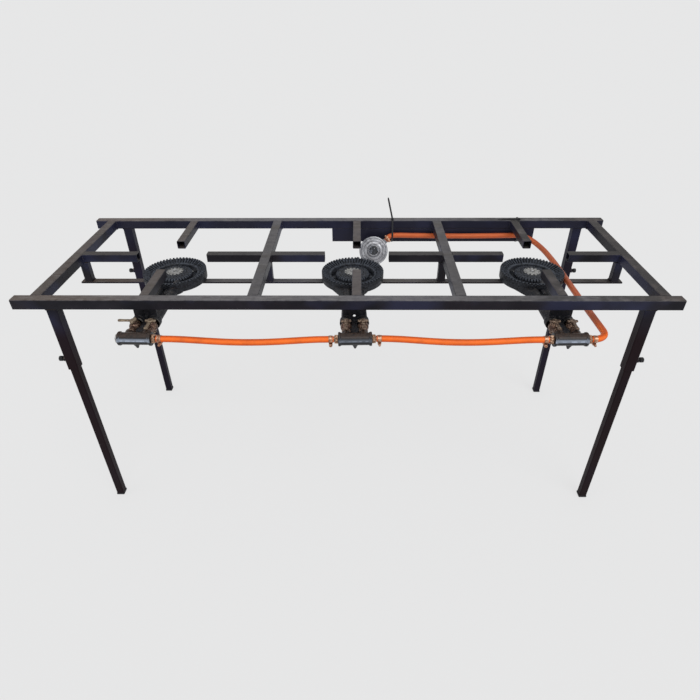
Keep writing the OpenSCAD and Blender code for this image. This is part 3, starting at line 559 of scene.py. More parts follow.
@dataclass(frozen=True)
class Rubber(Finish):
    """Extruded hose: lines along its length, scuffs, grime patches, and painted light and shade.

    Reads the piece's UV map, with U round the hose and V along it in metres. The two
    pairs are places in the shared frame, in metres, as Paint's are.
    """

    scuff: Colour = (0.95, 0.27, 0.06)
    scuffs: Patches = Patches(2.4, 0.56, 0.74, 0.4, 4.0)
    # Painted highlight across the middle of the hose, where it faces up and forward.
    fade: Colour = (0.98, 0.23, 0.035)
    # Painted shade along the top and bottom edges of the hose.
    under: Colour = (0.4, 0.085, 0.016)
    grime: Colour = (0.4, 0.07, 0.018)
    grimy: Patches = Patches(26.0, 0.5, 0.78, 0.4, 4.0)
    # Painted shade on the runs behind the taps.
    smoke: Colour = (0.36, 0.1, 0.052)
    front_y: Pair = (-0.262, -0.17)
    rear_y: Pair = (0.18, 0.25)
    lines: int = 26

    def colour(self, graph: Shader) -> Socket:
        """Orange, with a painted highlight across its middle and painted shade along its top and bottom
        edges and on the runs behind the taps, with scuffs and handling marks.
        """
        up, (_, y, _) = graph.facing("Z"), graph.place()
        along = graph.drawn((0.02, 1.0, 1.0), "UV")
        base = graph.lay(super().colour(graph), self.scuff, self.scuffs, where=along)
        # Painted highlight across the hose's middle.
        base = graph.blend(up.band((-0.1, 0.5), (0.62, 0.98)) * 0.5, base, self.fade)
        # Painted shade on the hose's top and bottom edges.
        base = graph.blend((1.0 - up.band((-0.6, 0.1), (0.86, 1.0))) * 0.55, base, self.under)
        base = graph.lay(base, self.grime, self.grimy)
        # Painted shade on the runs behind the taps, a little less on the rear run.
        film = y.ramp(*self.front_y) * (1.0 - 0.35 * y.ramp(*self.rear_y))
        return graph.blend(film * 0.8, base, self.smoke)

    def relief(self, graph: Shader) -> Num:
        """Fine lines along the hose and a slow wave round it."""
        spot = graph.add("ShaderNodeTexCoord").outputs["UV"]
        split = graph.add("ShaderNodeSeparateXYZ", None, {0: spot})
        lines = (graph.num(split, "X") * (2 * pi * self.lines)).sine()
        return 0.25 * lines + 0.75 * graph.noise(self.grain_mm)


@dataclass(frozen=True)
class Moulded(Finish):
    """Black moulded plastic with a spark-eroded grain and scratched high spots; on the spring cap the marks
    are painted glints.
    """

    scuff: Colour = (0.1, 0.1, 0.1)
    scratches: Patches = Patches(2.0, 0.68, 0.76, 0.6, 5.0)

    def colour(self, graph: Shader) -> Socket:
        """Black with grey scratch marks, which on the spring cap are painted glints."""
        return graph.lay(super().colour(graph), self.scuff, self.scratches)


PAINT = Paint(Slot.PAINT, (0.006, 0.0056, 0.0086), (0.0145, 0.0125, 0.0175), roughness=(0.34, 0.5),
              specular=0.135, patch_mm=70.0, grain_mm=0.9)
# Copies whose tops get more painted shade; the stubs' top film is browner too.
STUB_SHADED_PAINT = replace(PAINT, tag="stub", shade=0.38, dust=(0.17, 0.14, 0.124))
ARM_SHADED_PAINT = replace(PAINT, tag="arm", shade=0.76)
BAR_SHADED_PAINT = replace(PAINT, tag="bar", shade=0.34)
LEG_PAINT = replace(PAINT, tag="leg", specular=0.07, soil=(0.0105, 0.0042, 0.0054))
IRON = Enamel(Slot.IRON, (0.0016, 0.002, 0.003), (0.0205, 0.0225, 0.029), roughness=(0.38, 0.62),
              specular=0.22, patch_mm=5.0, grain_mm=1.3, grain_depth_mm=0.22)
# Darker, browner enamel for the mixing tubes.
DARK_TUBE_IRON = Enamel(Slot.IRON, (0.004, 0.0045, 0.007), (0.0135, 0.0145, 0.019), roughness=(0.46, 0.66),
              specular=0.25, patch_mm=14.0, grain_mm=1.3, grain_depth_mm=0.2, tag="soot",
              film=(0.06, 0.046, 0.034))
BARE = Metal(Slot.IRON, (0.1, 0.095, 0.09), (0.28, 0.27, 0.25), metallic=0.6, roughness=(0.3, 0.5),
             patch_mm=9.0, tarnish=(0.02, 0.018, 0.018), tarnish_share=0.7, blot_mm=11.0)
# Manifolds with painted sheen and painted reflection; the middle one gets less sheen.
SHEEN = Gloss(Slot.IRON, (0.006, 0.0055, 0.0065), (0.013, 0.011, 0.011), roughness=(0.26, 0.4),
              specular=0.26, patch_mm=12.0, grain_mm=1.6, grain_depth_mm=0.05, tag="manifold")
DULL_SHEEN = replace(SHEEN, dark=(0.006, 0.006, 0.0075), light=(0.012, 0.0115, 0.0125),
                     tag="dull_manifold", sheen_share=0.34)
CAP = Metal(Slot.CAP, (0.3, 0.3, 0.29), (0.5, 0.5, 0.48), metallic=0.35, roughness=(0.45, 0.6),
            patch_mm=5.0, grain_mm=0.7, grain_depth_mm=0.06, tarnish=(0.11, 0.105, 0.1), blot_mm=5.0)
BRASS = Metal(Slot.BRASS, (0.34, 0.17, 0.085), (0.78, 0.54, 0.38), metallic=0.9, roughness=(0.2, 0.36),
              patch_mm=4.5, grain_mm=0.5, tarnish=(0.1, 0.045, 0.028), tarnish_share=0.45, blot_mm=4.0)
BRONZE = Metal(Slot.BRASS, (0.15, 0.085, 0.06), (0.42, 0.285, 0.2), metallic=0.75,
               roughness=(0.24, 0.42), patch_mm=7.0, grain_depth_mm=0.04,
               tarnish=(0.04, 0.021, 0.019), tarnish_share=0.5, blot_mm=4.5, tag="bronze")
LEVER = Metal(Slot.BRASS, (0.34, 0.265, 0.185), (0.54, 0.45, 0.33), metallic=0.55, roughness=(0.3, 0.48),
              patch_mm=6.0, grain_mm=0.6, tarnish=(0.12, 0.075, 0.048), tarnish_share=0.5, blot_mm=6.0,
              tag="lever")
DULL_LEVER = replace(LEVER, dark=(0.26, 0.175, 0.12), light=(0.56, 0.43, 0.31), metallic=0.6,
                     roughness=(0.28, 0.46), patch_mm=5.0, tarnish=(0.07, 0.04, 0.03),
                     tarnish_share=0.55, blot_mm=4.0, tag="dull_lever")
ZINC = Metal(Slot.ZINC, (0.3, 0.31, 0.32), (0.5, 0.51, 0.52), metallic=0.9, roughness=(0.26, 0.44),
             patch_mm=6.0, grain_mm=0.5, grain_depth_mm=0.015, tarnish=(0.2, 0.18, 0.15),
             tarnish_share=0.25)
CLAMP = Metal(Slot.ZINC, (0.46, 0.25, 0.16), (0.66, 0.42, 0.29), metallic=0.85, roughness=(0.24, 0.4),
              patch_mm=5.0, grain_mm=0.5, grain_depth_mm=0.02, tarnish=(0.2, 0.075, 0.035), tag="clamp")
ALLOY = Metal(Slot.ALLOY, (0.26, 0.27, 0.29), (0.4, 0.41, 0.43), metallic=0.8, roughness=(0.3, 0.46),
              patch_mm=16.0, grain_mm=0.7, grain_depth_mm=0.04, tarnish=(0.14, 0.13, 0.13),
              tarnish_share=0.25)
RINGS = Turned(Slot.ALLOY, (0.36, 0.365, 0.39), (0.62, 0.625, 0.65), metallic=0.6, roughness=(0.34, 0.5),
               patch_mm=14.0, grain_mm=0.7, grain_depth_mm=0.04, tarnish=(0.16, 0.15, 0.16),
               tarnish_share=0.25)
HOSE = Rubber(Slot.HOSE, (0.66, 0.085, 0.006), (0.82, 0.12, 0.009), roughness=(0.34, 0.5),
              specular=0.2, patch_mm=50.0, grain_mm=0.6, grain_depth_mm=0.02)
PLASTIC = Moulded(Slot.PLASTIC, (0.008, 0.008, 0.01), (0.018, 0.018, 0.021), roughness=(0.42, 0.6),
                  specular=0.3, patch_mm=9.0, grain_mm=0.35)
# Spring cap: large bluish patches that are painted glints.
KNOB = Moulded(Slot.PLASTIC, (0.008, 0.009, 0.013), (0.02, 0.022, 0.03), roughness=(0.16, 0.3),
               patch_mm=6.0, grain_mm=0.5, grain_depth_mm=0.02, tag="cap", scuff=(0.26, 0.29, 0.35),
               scratches=Patches(6.0, 0.56, 0.64, 0.6, 5.0))
GASKET = Finish(Slot.RUBBER, (0.012, 0.012, 0.012), (0.025, 0.024, 0.023), roughness=(0.6, 0.75))


# ---- Meshes ----


class Shape:
    """A mesh under construction, in millimetres in the part's own frame."""

    def __init__(self) -> None:
        """Starts empty."""
        self.bm = bmesh.new()

    def ring(self, points: Sequence[Sequence[float]], frame: Matrix = IDENTITY) -> list:
        """Adds loose vertices and returns them in order."""
        return [self.bm.verts.new(frame @ Vector(p)) for p in points]

    def bridge(self, low: list, high: list) -> None:
        """Joins two rings of the same length, or a ring and a pole.

        Args:
            low: Vertices of one ring; one vertex is a pole.
            high: Vertices of the other.
        """
        count = max(len(low), len(high))
        if count == 1:
            return
        for i in range(count):
            j = (i + 1) % count
            if len(low) == 1:
                corners = (low[0], high[j], high[i])
            elif len(high) == 1:
                corners = (low[i], low[j], high[0])
            else:
                corners = (low[i], low[j], high[j], high[i])
            self.bm.faces.new(corners)

    def lathe(self, profile: Sequence[Pair], steps: int = 48, frame: Matrix = IDENTITY,
              closed: bool = False, phase: float = 0.0) -> Shape:
        """Turns a profile round the frame's Z axis.

        Args:
            profile: Pairs of radius and height; radius 0 is a pole.
            steps: Points round the axis; 6 gives a hexagon.
            frame: Where the axis stands.
            closed: Joins the last pair to the first, for a ring.
            phase: Angle of the first point, in degrees.

        Returns:
            This shape.
        """
        angles = [radians(phase) + 2 * pi * i / steps for i in range(steps)]
        rings = []
        for radius, height in profile:
            if radius == 0:
                rings.append(self.ring([(0, 0, height)], frame))
            else:
                rings.append(self.ring([(radius * cos(a), radius * sin(a), height) for a in angles], frame))
        for low, high in zip(rings, rings[1:] + (rings[:1] if closed else [])):
            self.bridge(low, high)
        return self

    def loft(self, rings: Sequence[Sequence[Sequence[float]]], frame: Matrix = IDENTITY,
             closed: bool = False) -> Shape:
        """Skins a row of outlines.

        Args:
            rings: Outlines with the same number of points.
            frame: Their place.
            closed: Joins the last outline to the first; otherwise both ends are capped.

        Returns:
            This shape.
        """
        made = [self.ring(r, frame) for r in rings]
        for low, high in zip(made, made[1:] + (made[:1] if closed else [])):
            self.bridge(low, high)
        if not closed:
            self.bm.faces.new(list(reversed(made[0])))
            self.bm.faces.new(made[-1])
        return self

    def block(self, low: Sequence[float], high: Sequence[float], frame: Matrix = IDENTITY,
              bevel: float = 0.0) -> Shape:
        """Adds a box.

        Args:
            low: Lowest corner.
            high: Highest corner.
            frame: Place of the box.
            bevel: Rounding of its edges.

        Returns:
            This shape.
        """
        middle = [(a + b) / 2 for a, b in zip(low, high)]
        size = [abs(b - a) for a, b in zip(low, high)]
        place = frame @ Matrix.Translation(middle) @ Matrix.Diagonal((*size, 1.0))
        made = bmesh.ops.create_cube(self.bm, size=1.0, matrix=place)["verts"]
        if bevel > 0:
            edges = list(dict.fromkeys(e for v in made for e in v.link_edges))
            bmesh.ops.bevel(self.bm, geom=edges, offset=bevel, segments=2, profile=0.5,
                            affect="EDGES", clamp_overlap=True)
        return self

    def prism(self, outline: Sequence[Pair], low: float, high: float, frame: Matrix = IDENTITY) -> Shape:
        """Raises a flat outline between two heights."""
        return self.loft([[(x, y, low) for x, y in outline], [(x, y, high) for x, y in outline]], frame)

    def absorb(self, mesh: Mesh, frame: Matrix = IDENTITY) -> Shape:
        """Adds a mesh, which stays as it is.

        Args:
            mesh: Mesh in millimetres.
            frame: Its place.

        Returns:
            This shape.
        """
        copy = mesh.copy()
        copy.transform(frame)
        self.bm.from_mesh(copy)
        bpy.data.meshes.remove(copy)
        return self

    def mesh(self, name: str, sharp: float = 35.0) -> Mesh:
        """Ends the shape as a smooth-shaded mesh with sharp edges marked.

        Args:
            name: Name of the mesh.
            sharp: Edges that turn more than this many degrees stay crisp.

        Returns:
            The mesh, still in millimetres.
        """
        bmesh.ops.recalc_face_normals(self.bm, faces=self.bm.faces[:])
        made = bpy.data.meshes.new(name)
        self.bm.to_mesh(made)
        self.bm.free()
        made.shade_smooth()
        made.set_sharp_from_angle(angle=radians(sharp))
        return made


def show(mesh: Mesh, name: str) -> bpy.types.Object:
    """Puts a mesh into the scene as an object at the origin."""
    made = bpy.data.objects.new(name, mesh)
    bpy.context.scene.collection.objects.link(made)
    return made


def bake(obj: bpy.types.Object) -> Mesh:
    """Applies an object's modifiers and removes the object.

    Args:
        obj: Object with live modifiers.

    Returns:
        A plain mesh with the result.
    """
    graph = bpy.context.evaluated_depsgraph_get()
    made = bpy.data.meshes.new_from_object(obj.evaluated_get(graph), depsgraph=graph)
    bpy.data.objects.remove(obj)
    return made


def melt(mesh: Mesh, voxel: float, rounds: int) -> Mesh:
    """Melts overlapping bodies into one skin with soft corners, as a casting has.

    Args:
        mesh: Closed bodies in millimetres.
        voxel: Size of the skin's faces.
        rounds: Rounds of smoothing.

    Returns:
        The skin.
    """
    lump = show(mesh, mesh.name)
    skin = lump.modifiers.new("melt", "REMESH")
    skin.mode, skin.voxel_size, skin.use_smooth_shade = "VOXEL", voxel, True
    ease = lump.modifiers.new("ease", "SMOOTH")
    ease.factor, ease.iterations = 0.5, rounds
    return bake(lump)


def dress(mesh: Mesh, name: str, finish: Finish, frame: Matrix = IDENTITY, body: str = "stand",
          nodes: Sequence[str] = ()) -> bpy.types.Object:
    """Places a finished mesh, gives it its finish and ties it to the object.

    Args:
        mesh: Mesh in millimetres.
        name: Name of the piece.
        finish: Its finish.
        frame: Millimetres in the part's frame to metres in the shared frame.
        body: Moving body that carries it.
        nodes: Plain solids that it stands for.

    Returns:
        The piece.
    """
    mesh.transform(frame)
    coat(mesh, finish)
    piece = show(mesh, name)
    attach(piece, body)
    if nodes:
        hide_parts(*nodes)
    LOG.info("%s: %d faces on %s", name, len(mesh.polygons), body)
    return piece


def coat(mesh: Mesh, finish: Finish) -> None:
    """Gives a mesh one finish."""
    mesh.materials.clear()
    mesh.materials.append(finish.material())


class Repeats:
    """Geometry Nodes trees that repeat a small shape."""

    def __init__(self) -> None:
        """Builds the trees once."""
        self.round = self._round()
        self.row = self._row()
        self.bead = self._bead()

    def _open(self, name: str, sockets: Sequence[tuple[str, str]]) -> tuple[Graph, Node]:
        """Starts a tree.

        Args:
            name: Name of the tree.
            sockets: Name and kind of each input.

        Returns:
            The tree's graph and its input node.
        """
        tree = bpy.data.node_groups.new(name, "GeometryNodeTree")
        graph = Graph(tree)
        for label, kind in sockets:
            tree.interface.new_socket(label, in_out="INPUT", socket_type="NodeSocket" + kind)
        tree.interface.new_socket("Result", in_out="OUTPUT", socket_type="NodeSocketGeometry")
        return graph, graph.add("NodeGroupInput")

    def _close(self, graph: Graph, copies: Node, given: Node) -> Tree:
        """Realizes the copies, sets their material and ends the tree.

        Args:
            graph: The tree's graph.
            copies: Node that makes the copies.
            given: The tree's input node.

        Returns:
            The tree.
        """
        real = graph.add("GeometryNodeRealizeInstances", None, {0: copies.outputs[0]})
        clad = graph.add("GeometryNodeSetMaterial", None, {
            "Geometry": real.outputs[0], "Material": given.outputs["Finish"]})
        graph.add("NodeGroupOutput", None, {0: clad.outputs[0]})
        return graph.tree

    def _round(self) -> Tree:
        """Tree that copies a shape round the Z axis."""
        graph, given = self._open("Copies round an axis", [
            ("Shape", "Geometry"), ("Count", "Int"), ("First angle", "Float"), ("Finish", "Material")])
        points = graph.add("GeometryNodePoints", None, {"Count": given.outputs["Count"]})
        index = graph.num(graph.add("GeometryNodeInputIndex"))
        angle = index * (2 * pi) / graph.num(given, "Count") + graph.num(given, "First angle")
        spin = graph.add("ShaderNodeCombineXYZ", None, {"Z": angle})
        euler = graph.add("FunctionNodeEulerToRotation", None, {0: spin.outputs[0]})
        copies = graph.add("GeometryNodeInstanceOnPoints", None, {
            "Points": points.outputs[0], "Instance": given.outputs["Shape"], "Rotation": euler.outputs[0]})
        return self._close(graph, copies, given)

    def _row(self) -> Tree:
        """Tree that copies a shape along a line at equal steps."""
        graph, given = self._open("Copies in a row", [
            ("Shape", "Geometry"), ("Count", "Int"), ("Step", "Vector"), ("Finish", "Material")])
        index = graph.num(graph.add("GeometryNodeInputIndex"))
        place = graph.add("ShaderNodeVectorMath", {"operation": "SCALE"},
                          {0: given.outputs["Step"], "Scale": index})
        points = graph.add("GeometryNodePoints", None, {
            "Count": given.outputs["Count"], "Position": place.outputs[0]})
        copies = graph.add("GeometryNodeInstanceOnPoints", None, {
            "Points": points.outputs[0], "Instance": given.outputs["Shape"]})
        return self._close(graph, copies, given)

    def _bead(self) -> Tree:
        """Tree that lays overlapping weld ripples along the edges of a wire mesh."""
        graph, given = self._open("Weld ripples along edges", [
            ("Seams", "Geometry"), ("Ripple radius", "Float"), ("Flatness", "Float"), ("Spacing", "Float"),
            ("Unevenness", "Float"), ("Seed", "Int"), ("Finish", "Material")])
        curve = graph.add("GeometryNodeMeshToCurve", None, {0: given.outputs["Seams"]})
        points = graph.add("GeometryNodeCurveToPoints", {"mode": "LENGTH"}, {
            "Curve": curve.outputs[0], "Length": given.outputs["Spacing"]})
        ripple = graph.add("GeometryNodeMeshUVSphere", None, {
            "Segments": 8, "Rings": 5, "Radius": given.outputs["Ripple radius"]})
        smooth = graph.add("GeometryNodeSetShadeSmooth", None, {0: ripple.outputs[0]})
        spread = graph.num(given, "Unevenness")
        drawn = graph.add("FunctionNodeRandomValue", {"data_type": "FLOAT"}, {
            2: 1.0 - spread, 3: 1.0 + spread, "Seed": given.outputs["Seed"]})
        size = graph.num(drawn, 1)
        flat = graph.num(given, "Flatness") * size
        scale = graph.add("ShaderNodeCombineXYZ", None, {"X": size, "Y": size, "Z": flat})
        copies = graph.add("GeometryNodeInstanceOnPoints", None, {
            "Points": points.outputs["Points"], "Instance": smooth.outputs[0],
            "Rotation": points.outputs["Rotation"], "Scale": scale.outputs[0]})
        return self._close(graph, copies, given)

    def run(self, tree: Tree, shape: Mesh, finish: Finish, **values: Feed) -> Mesh:
        """Runs a tree on a shape and bakes the result.

        Args:
            tree: One of this class's trees.
            shape: Mesh that goes into the tree's first input.
            finish: Finish of the result.
            **values: The tree's other inputs, with underscores for spaces.

        Returns:
            The repeated shape as a plain mesh.
        """
        obj = show(shape, "repeat")
        mod = obj.modifiers.new("repeat", "NODES")
        mod.node_group = tree
        wanted = {name.replace("_", " ").lower(): value for name, value in values.items()}
        wanted["finish"] = finish.material()
        for item in tree.interface.items_tree:
            if item.in_out == "INPUT" and item.name.lower() in wanted:
                mod[item.identifier] = wanted[item.name.lower()]
        return bake(obj)

    def around(self, shape: Mesh, finish: Finish, count: int, first_angle: float = 0.0) -> Mesh:
        """Repeats a shape round the Z axis, the first copy at an angle in radians."""
        return self.run(self.round, shape, finish, count=count, first_angle=first_angle)


# ---- Places ----


@dataclass(frozen=True)
class Layout:
    """Sizes that several sub-assemblies share, in millimetres.

    The working frame has Y = 0 at the front face of the front rail and Z = 0 at the
    pot-support plane.
    """

    table_height: float = 650.0
    table_depth: float = 505.0
    tube: float = 25.0
    stub: float = 22.0
    members: tuple[float, ...] = (-703.0, -209.0, 261.0, 717.0)
    row_y: float = field(default_factory=lambda: 1000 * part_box("front_rail")[0][1])
    carrier_drop: float = 80.0
    burner_x: tuple[float, ...] = (-459.5, 15.0, 489.5)
    burner_y: float = 252.5
    burner_turn: tuple[float, ...] = (-1.1, 1.5, 1.2)
    ring_r: float = 82.0
    ring_lift: float = 3.5
    cap_z: float = 25.5
    gas_axis: float = 10.0
    manifold_y: float = -300.5
    manifold_half: float = 37.5
    tap_y: float = -250.0
    tap_half: float = 19.5
    hose_start: float = 10.0
    hose_d: float = 15.0
    regulator_at: Triple = (75.5, 445.0, -80.0)
    regulator_lean: float = 28.0
    regulator_turn: float = 40.0
    chamber_z: float = -9.0
    outlet_face: float = 48.0
    sides: tuple[str, ...] = ("left", "middle", "right")

    @property
    def rear_face(self) -> float:
        """Inner face of the rear rail."""
        return self.table_depth - self.tube

    def at(self, x: float, y: float, z: float) -> Matrix:
        """Millimetres round a point of the working frame to metres in the shared frame."""
        place = shift(x / 1000, (y + self.row_y) / 1000, (z + self.table_height) / 1000)
        return place @ Matrix.Scale(0.001, 4)

    def burner(self, i: int) -> Matrix:
        """Frame of a burner: centre of its ring, on the carrier bar."""
        return self.at(self.burner_x[i], self.burner_y, -self.carrier_drop) @ turn(self.burner_turn[i], "Z")

    def tap(self, i: int, side: int) -> Matrix:
        """Frame of a tap: its plug's axis at the height of the gas way."""
        return self.burner(i) @ shift(side * self.tap_half, self.tap_y, self.gas_axis)

    def hose_face(self, i: int, side: int) -> Matrix:
        """Frame at the end of a manifold, with X pointing out."""
        return (self.burner(i) @ shift(0, self.manifold_y, self.gas_axis)
                @ turn(0 if side > 0 else 180, "Z") @ shift(self.manifold_half, 0, 0))

    def regulator(self) -> Matrix:
        """Frame of the regulator: Z out of its face, X towards the outlet."""
        return (self.at(*self.regulator_at) @ turn(90 - self.regulator_lean, "X")
                @ turn(self.regulator_turn, "Z"))

    def working(self, point: Vector) -> Vector:
        """A shared-frame point in metres as working-frame millimetres."""
        return point * 1000 - Vector((0, self.row_y, self.table_height))


# ---- Hoses ----


@dataclass
class GasHose:
    """One orange hose from fitting to fitting, swept along its centre line."""

    layout: Layout
    node: str
    route: list[Vector]
    length_m: float
    lay: str
    sides: int = 32
    step: float = 4.0

    def centre_line(self) -> list[Vector]:
        """Smooths the route into evenly spaced points.

        Returns:
            Points in the working frame, in millimetres.
        """
        route = self.route
        fine = [route[0]]
        for i in range(len(route) - 1):
            before = route[i - 1] if i else route[0] * 2 - route[1]
            after = route[i + 2] if i + 2 < len(route) else route[-1] * 2 - route[-2]
            a, b = route[i], route[i + 1]
            reach = (b - a).length
            count = max(1, round(reach / self.step))
            out_a = (b - before).normalized() * reach
            out_b = (after - a).normalized() * reach
            for k in range(1, count + 1):
                t = k / count
                fine.append(a * (2 * t**3 - 3 * t**2 + 1) + out_a * (t**3 - 2 * t**2 + t)
                            + b * (3 * t**2 - 2 * t**3) + out_b * (t**3 - t**2))
        return fine

    def sweep(self, line: Sequence[Vector]) -> tuple[Shape, float]:
        """Sweeps a round section along the centre line, with a UV map.

        Args:
            line: Points of the centre line.

        Returns:
            The hose and its length.
        """
        shape, radius = Shape(), self.layout.hose_d / 2
        rings, runs = [], []
        for i, point in enumerate(line):
            ahead = (line[min(i + 1, len(line) - 1)] - line[max(i - 1, 0)]).normalized()
            across = ahead.cross(Vector((0, 0, 1))).normalized()
            up = across.cross(ahead)
            runs.append(runs[-1] + (point - line[i - 1]).length if i else 0.0)
            rings.append(shape.ring([
                point + radius * (cos(a) * across + sin(a) * up)
                for a in (2 * pi * k / self.sides for k in range(self.sides))]))
        chart = shape.bm.loops.layers.uv.new("UVMap")
        for i, (low, high) in enumerate(zip(rings, rings[1:])):
            for k in range(self.sides):
                j = (k + 1) % self.sides
                face = shape.bm.faces.new((low[k], low[j], high[j], high[k]))
                for loop, u, v in zip(face.loops, (k, k + 1, k + 1, k), (i, i, i + 1, i + 1)):
                    loop[chart].uv = (u / self.sides, runs[v] / 1000)
        shape.bm.faces.new(list(reversed(rings[0])))
        shape.bm.faces.new(rings[-1])
        return shape, runs[-1]

    def build(self) -> None:
        line = self.centre_line()
        place = self.layout.at(0, 0, 0)
        shape, run = self.sweep(line)
        name = self.node + "_run"
        piece = dress(shape.mesh(name, 60.0), name, HOSE, place, nodes=[self.node])
        path = [place @ p for p in line]
        LOG.info("%s is %.4f m long", self.node, run / 1000)


@dataclass
class GasHoses:
    """The three hoses, routed as the plain solids are.

    The sag's pairs are shares of the span and drops. The strip's points are measured back
    from the hose's run beside the ring and from its run under the rear rail.
    """

    layout: Layout
    supply_lead: float = 5.0
    span_lead: float = 14.0
    beside_gap: float = 2.0
    corner_step: float = 15.0
    span_sag: tuple[Pair, ...] = (
        (0.05, 0.3), (0.12, 1.4), (0.2, 3.4), (0.3, 6.0), (0.4, 8.0), (0.5, 8.7), (0.6, 8.2),
        (0.7, 6.4), (0.8, 3.8), (0.88, 1.7), (0.95, 0.4))
    strip_run: tuple[Triple, ...] = (
        (15.5, 74, -60), (23.5, 48, -56.5), (34.5, 26.5, -52), (48.5, 10.5, -47.6),
        (63, 2.3, -44.6), (78, 0, -43.2), (96, 0, -43), (124, 0, -43.4), (161, 0, -44),
        (201, 0, -44.4), (241, 0, -44.6), (281, 0, -44.4), (321, 0, -44), (361, 0, -43.4),
        (397, 0, -42.8), (423, 0, -42.3), (443, 0, -42.3), (449, 0.2, -42.7),
        (454.5, 0.9, -44), (459.6, 2.1, -46.2))

    def end(self, i: int, side: int, out: float) -> Vector:
        """Point on a manifold's axis, a distance out from where its hose begins."""
        frame = self.layout.hose_face(i, side)
        return self.layout.working(frame @ Vector((self.layout.hose_start + out, 0, 0)))

    def outlet(self, out: float) -> Vector:
        """Point on the regulator outlet's axis, a distance out from its collar."""
        spot = Vector((self.layout.outlet_face + out, 0, self.layout.chamber_z))
        return self.layout.working(self.layout.regulator() @ spot)

    def between(self, i: int, j: int) -> list[Vector]:
        """Route of the hose that joins two manifolds.

        Args:
            i: The manifold on its left.
            j: The manifold on its right.

        Returns:
            Points in the working frame.
        """
        a, b = self.end(i, 1, self.span_lead), self.end(j, -1, self.span_lead)
        sag = [a + s * (b - a) - Vector((0, 0, drop)) for s, drop in self.span_sag]
        return [self.end(i, 1, 0), a, *sag, b, self.end(j, -1, 0)]

    def supply(self) -> list[Vector]:
        """Route of the hose from the right manifold to the regulator's outlet.

        Returns:
            Points in the working frame.
        """
        lay = self.layout
        start = self.end(2, 1, self.supply_lead)
        x = lay.burner_x[2] + lay.ring_r + lay.hose_d / 2 + self.beside_gap
        radius = x - start.x
        front = lay.gas_axis - lay.carrier_drop
        rest = -lay.carrier_drop + lay.hose_d / 2 + 0.3
        run_y = lay.rear_face - lay.hose_d / 2 - 0.5
        bend = [start + radius * Vector((sin(a), 1 - cos(a), 0))
                for a in (radians(self.corner_step * k) for k in range(7))]
        beside = [Vector(p) for p in (
            (x, 8, front), (x, 36, front - 0.4), (x, 66, front - 1), (x, 100, rest + 0.4),
            (x, 136, rest), (x, 172, rest), (x, 208, rest), (x, 240, rest),
            (x - 0.4, 268, rest + 0.8), (x - 2, 300, -70), (x - 5, 332, -67), (x - 9.5, 364, -63.5))]
        strip = [Vector((x - a, run_y - b, z)) for a, b, z in self.strip_run]
        return [self.end(2, 1, 0), *bend, *beside, *strip, self.outlet(6), self.outlet(0)]

    def build(self) -> None:
        """Builds the hoses."""
        GasHose(self.layout, "hose_left", self.between(0, 1), 0.3937, "hanging").build()
        GasHose(self.layout, "hose_middle", self.between(1, 2), 0.3785, "hanging").build()
        GasHose(self.layout, "hose_supply", self.supply(), 0.9715, "loose").build()


# ---- Burners ----


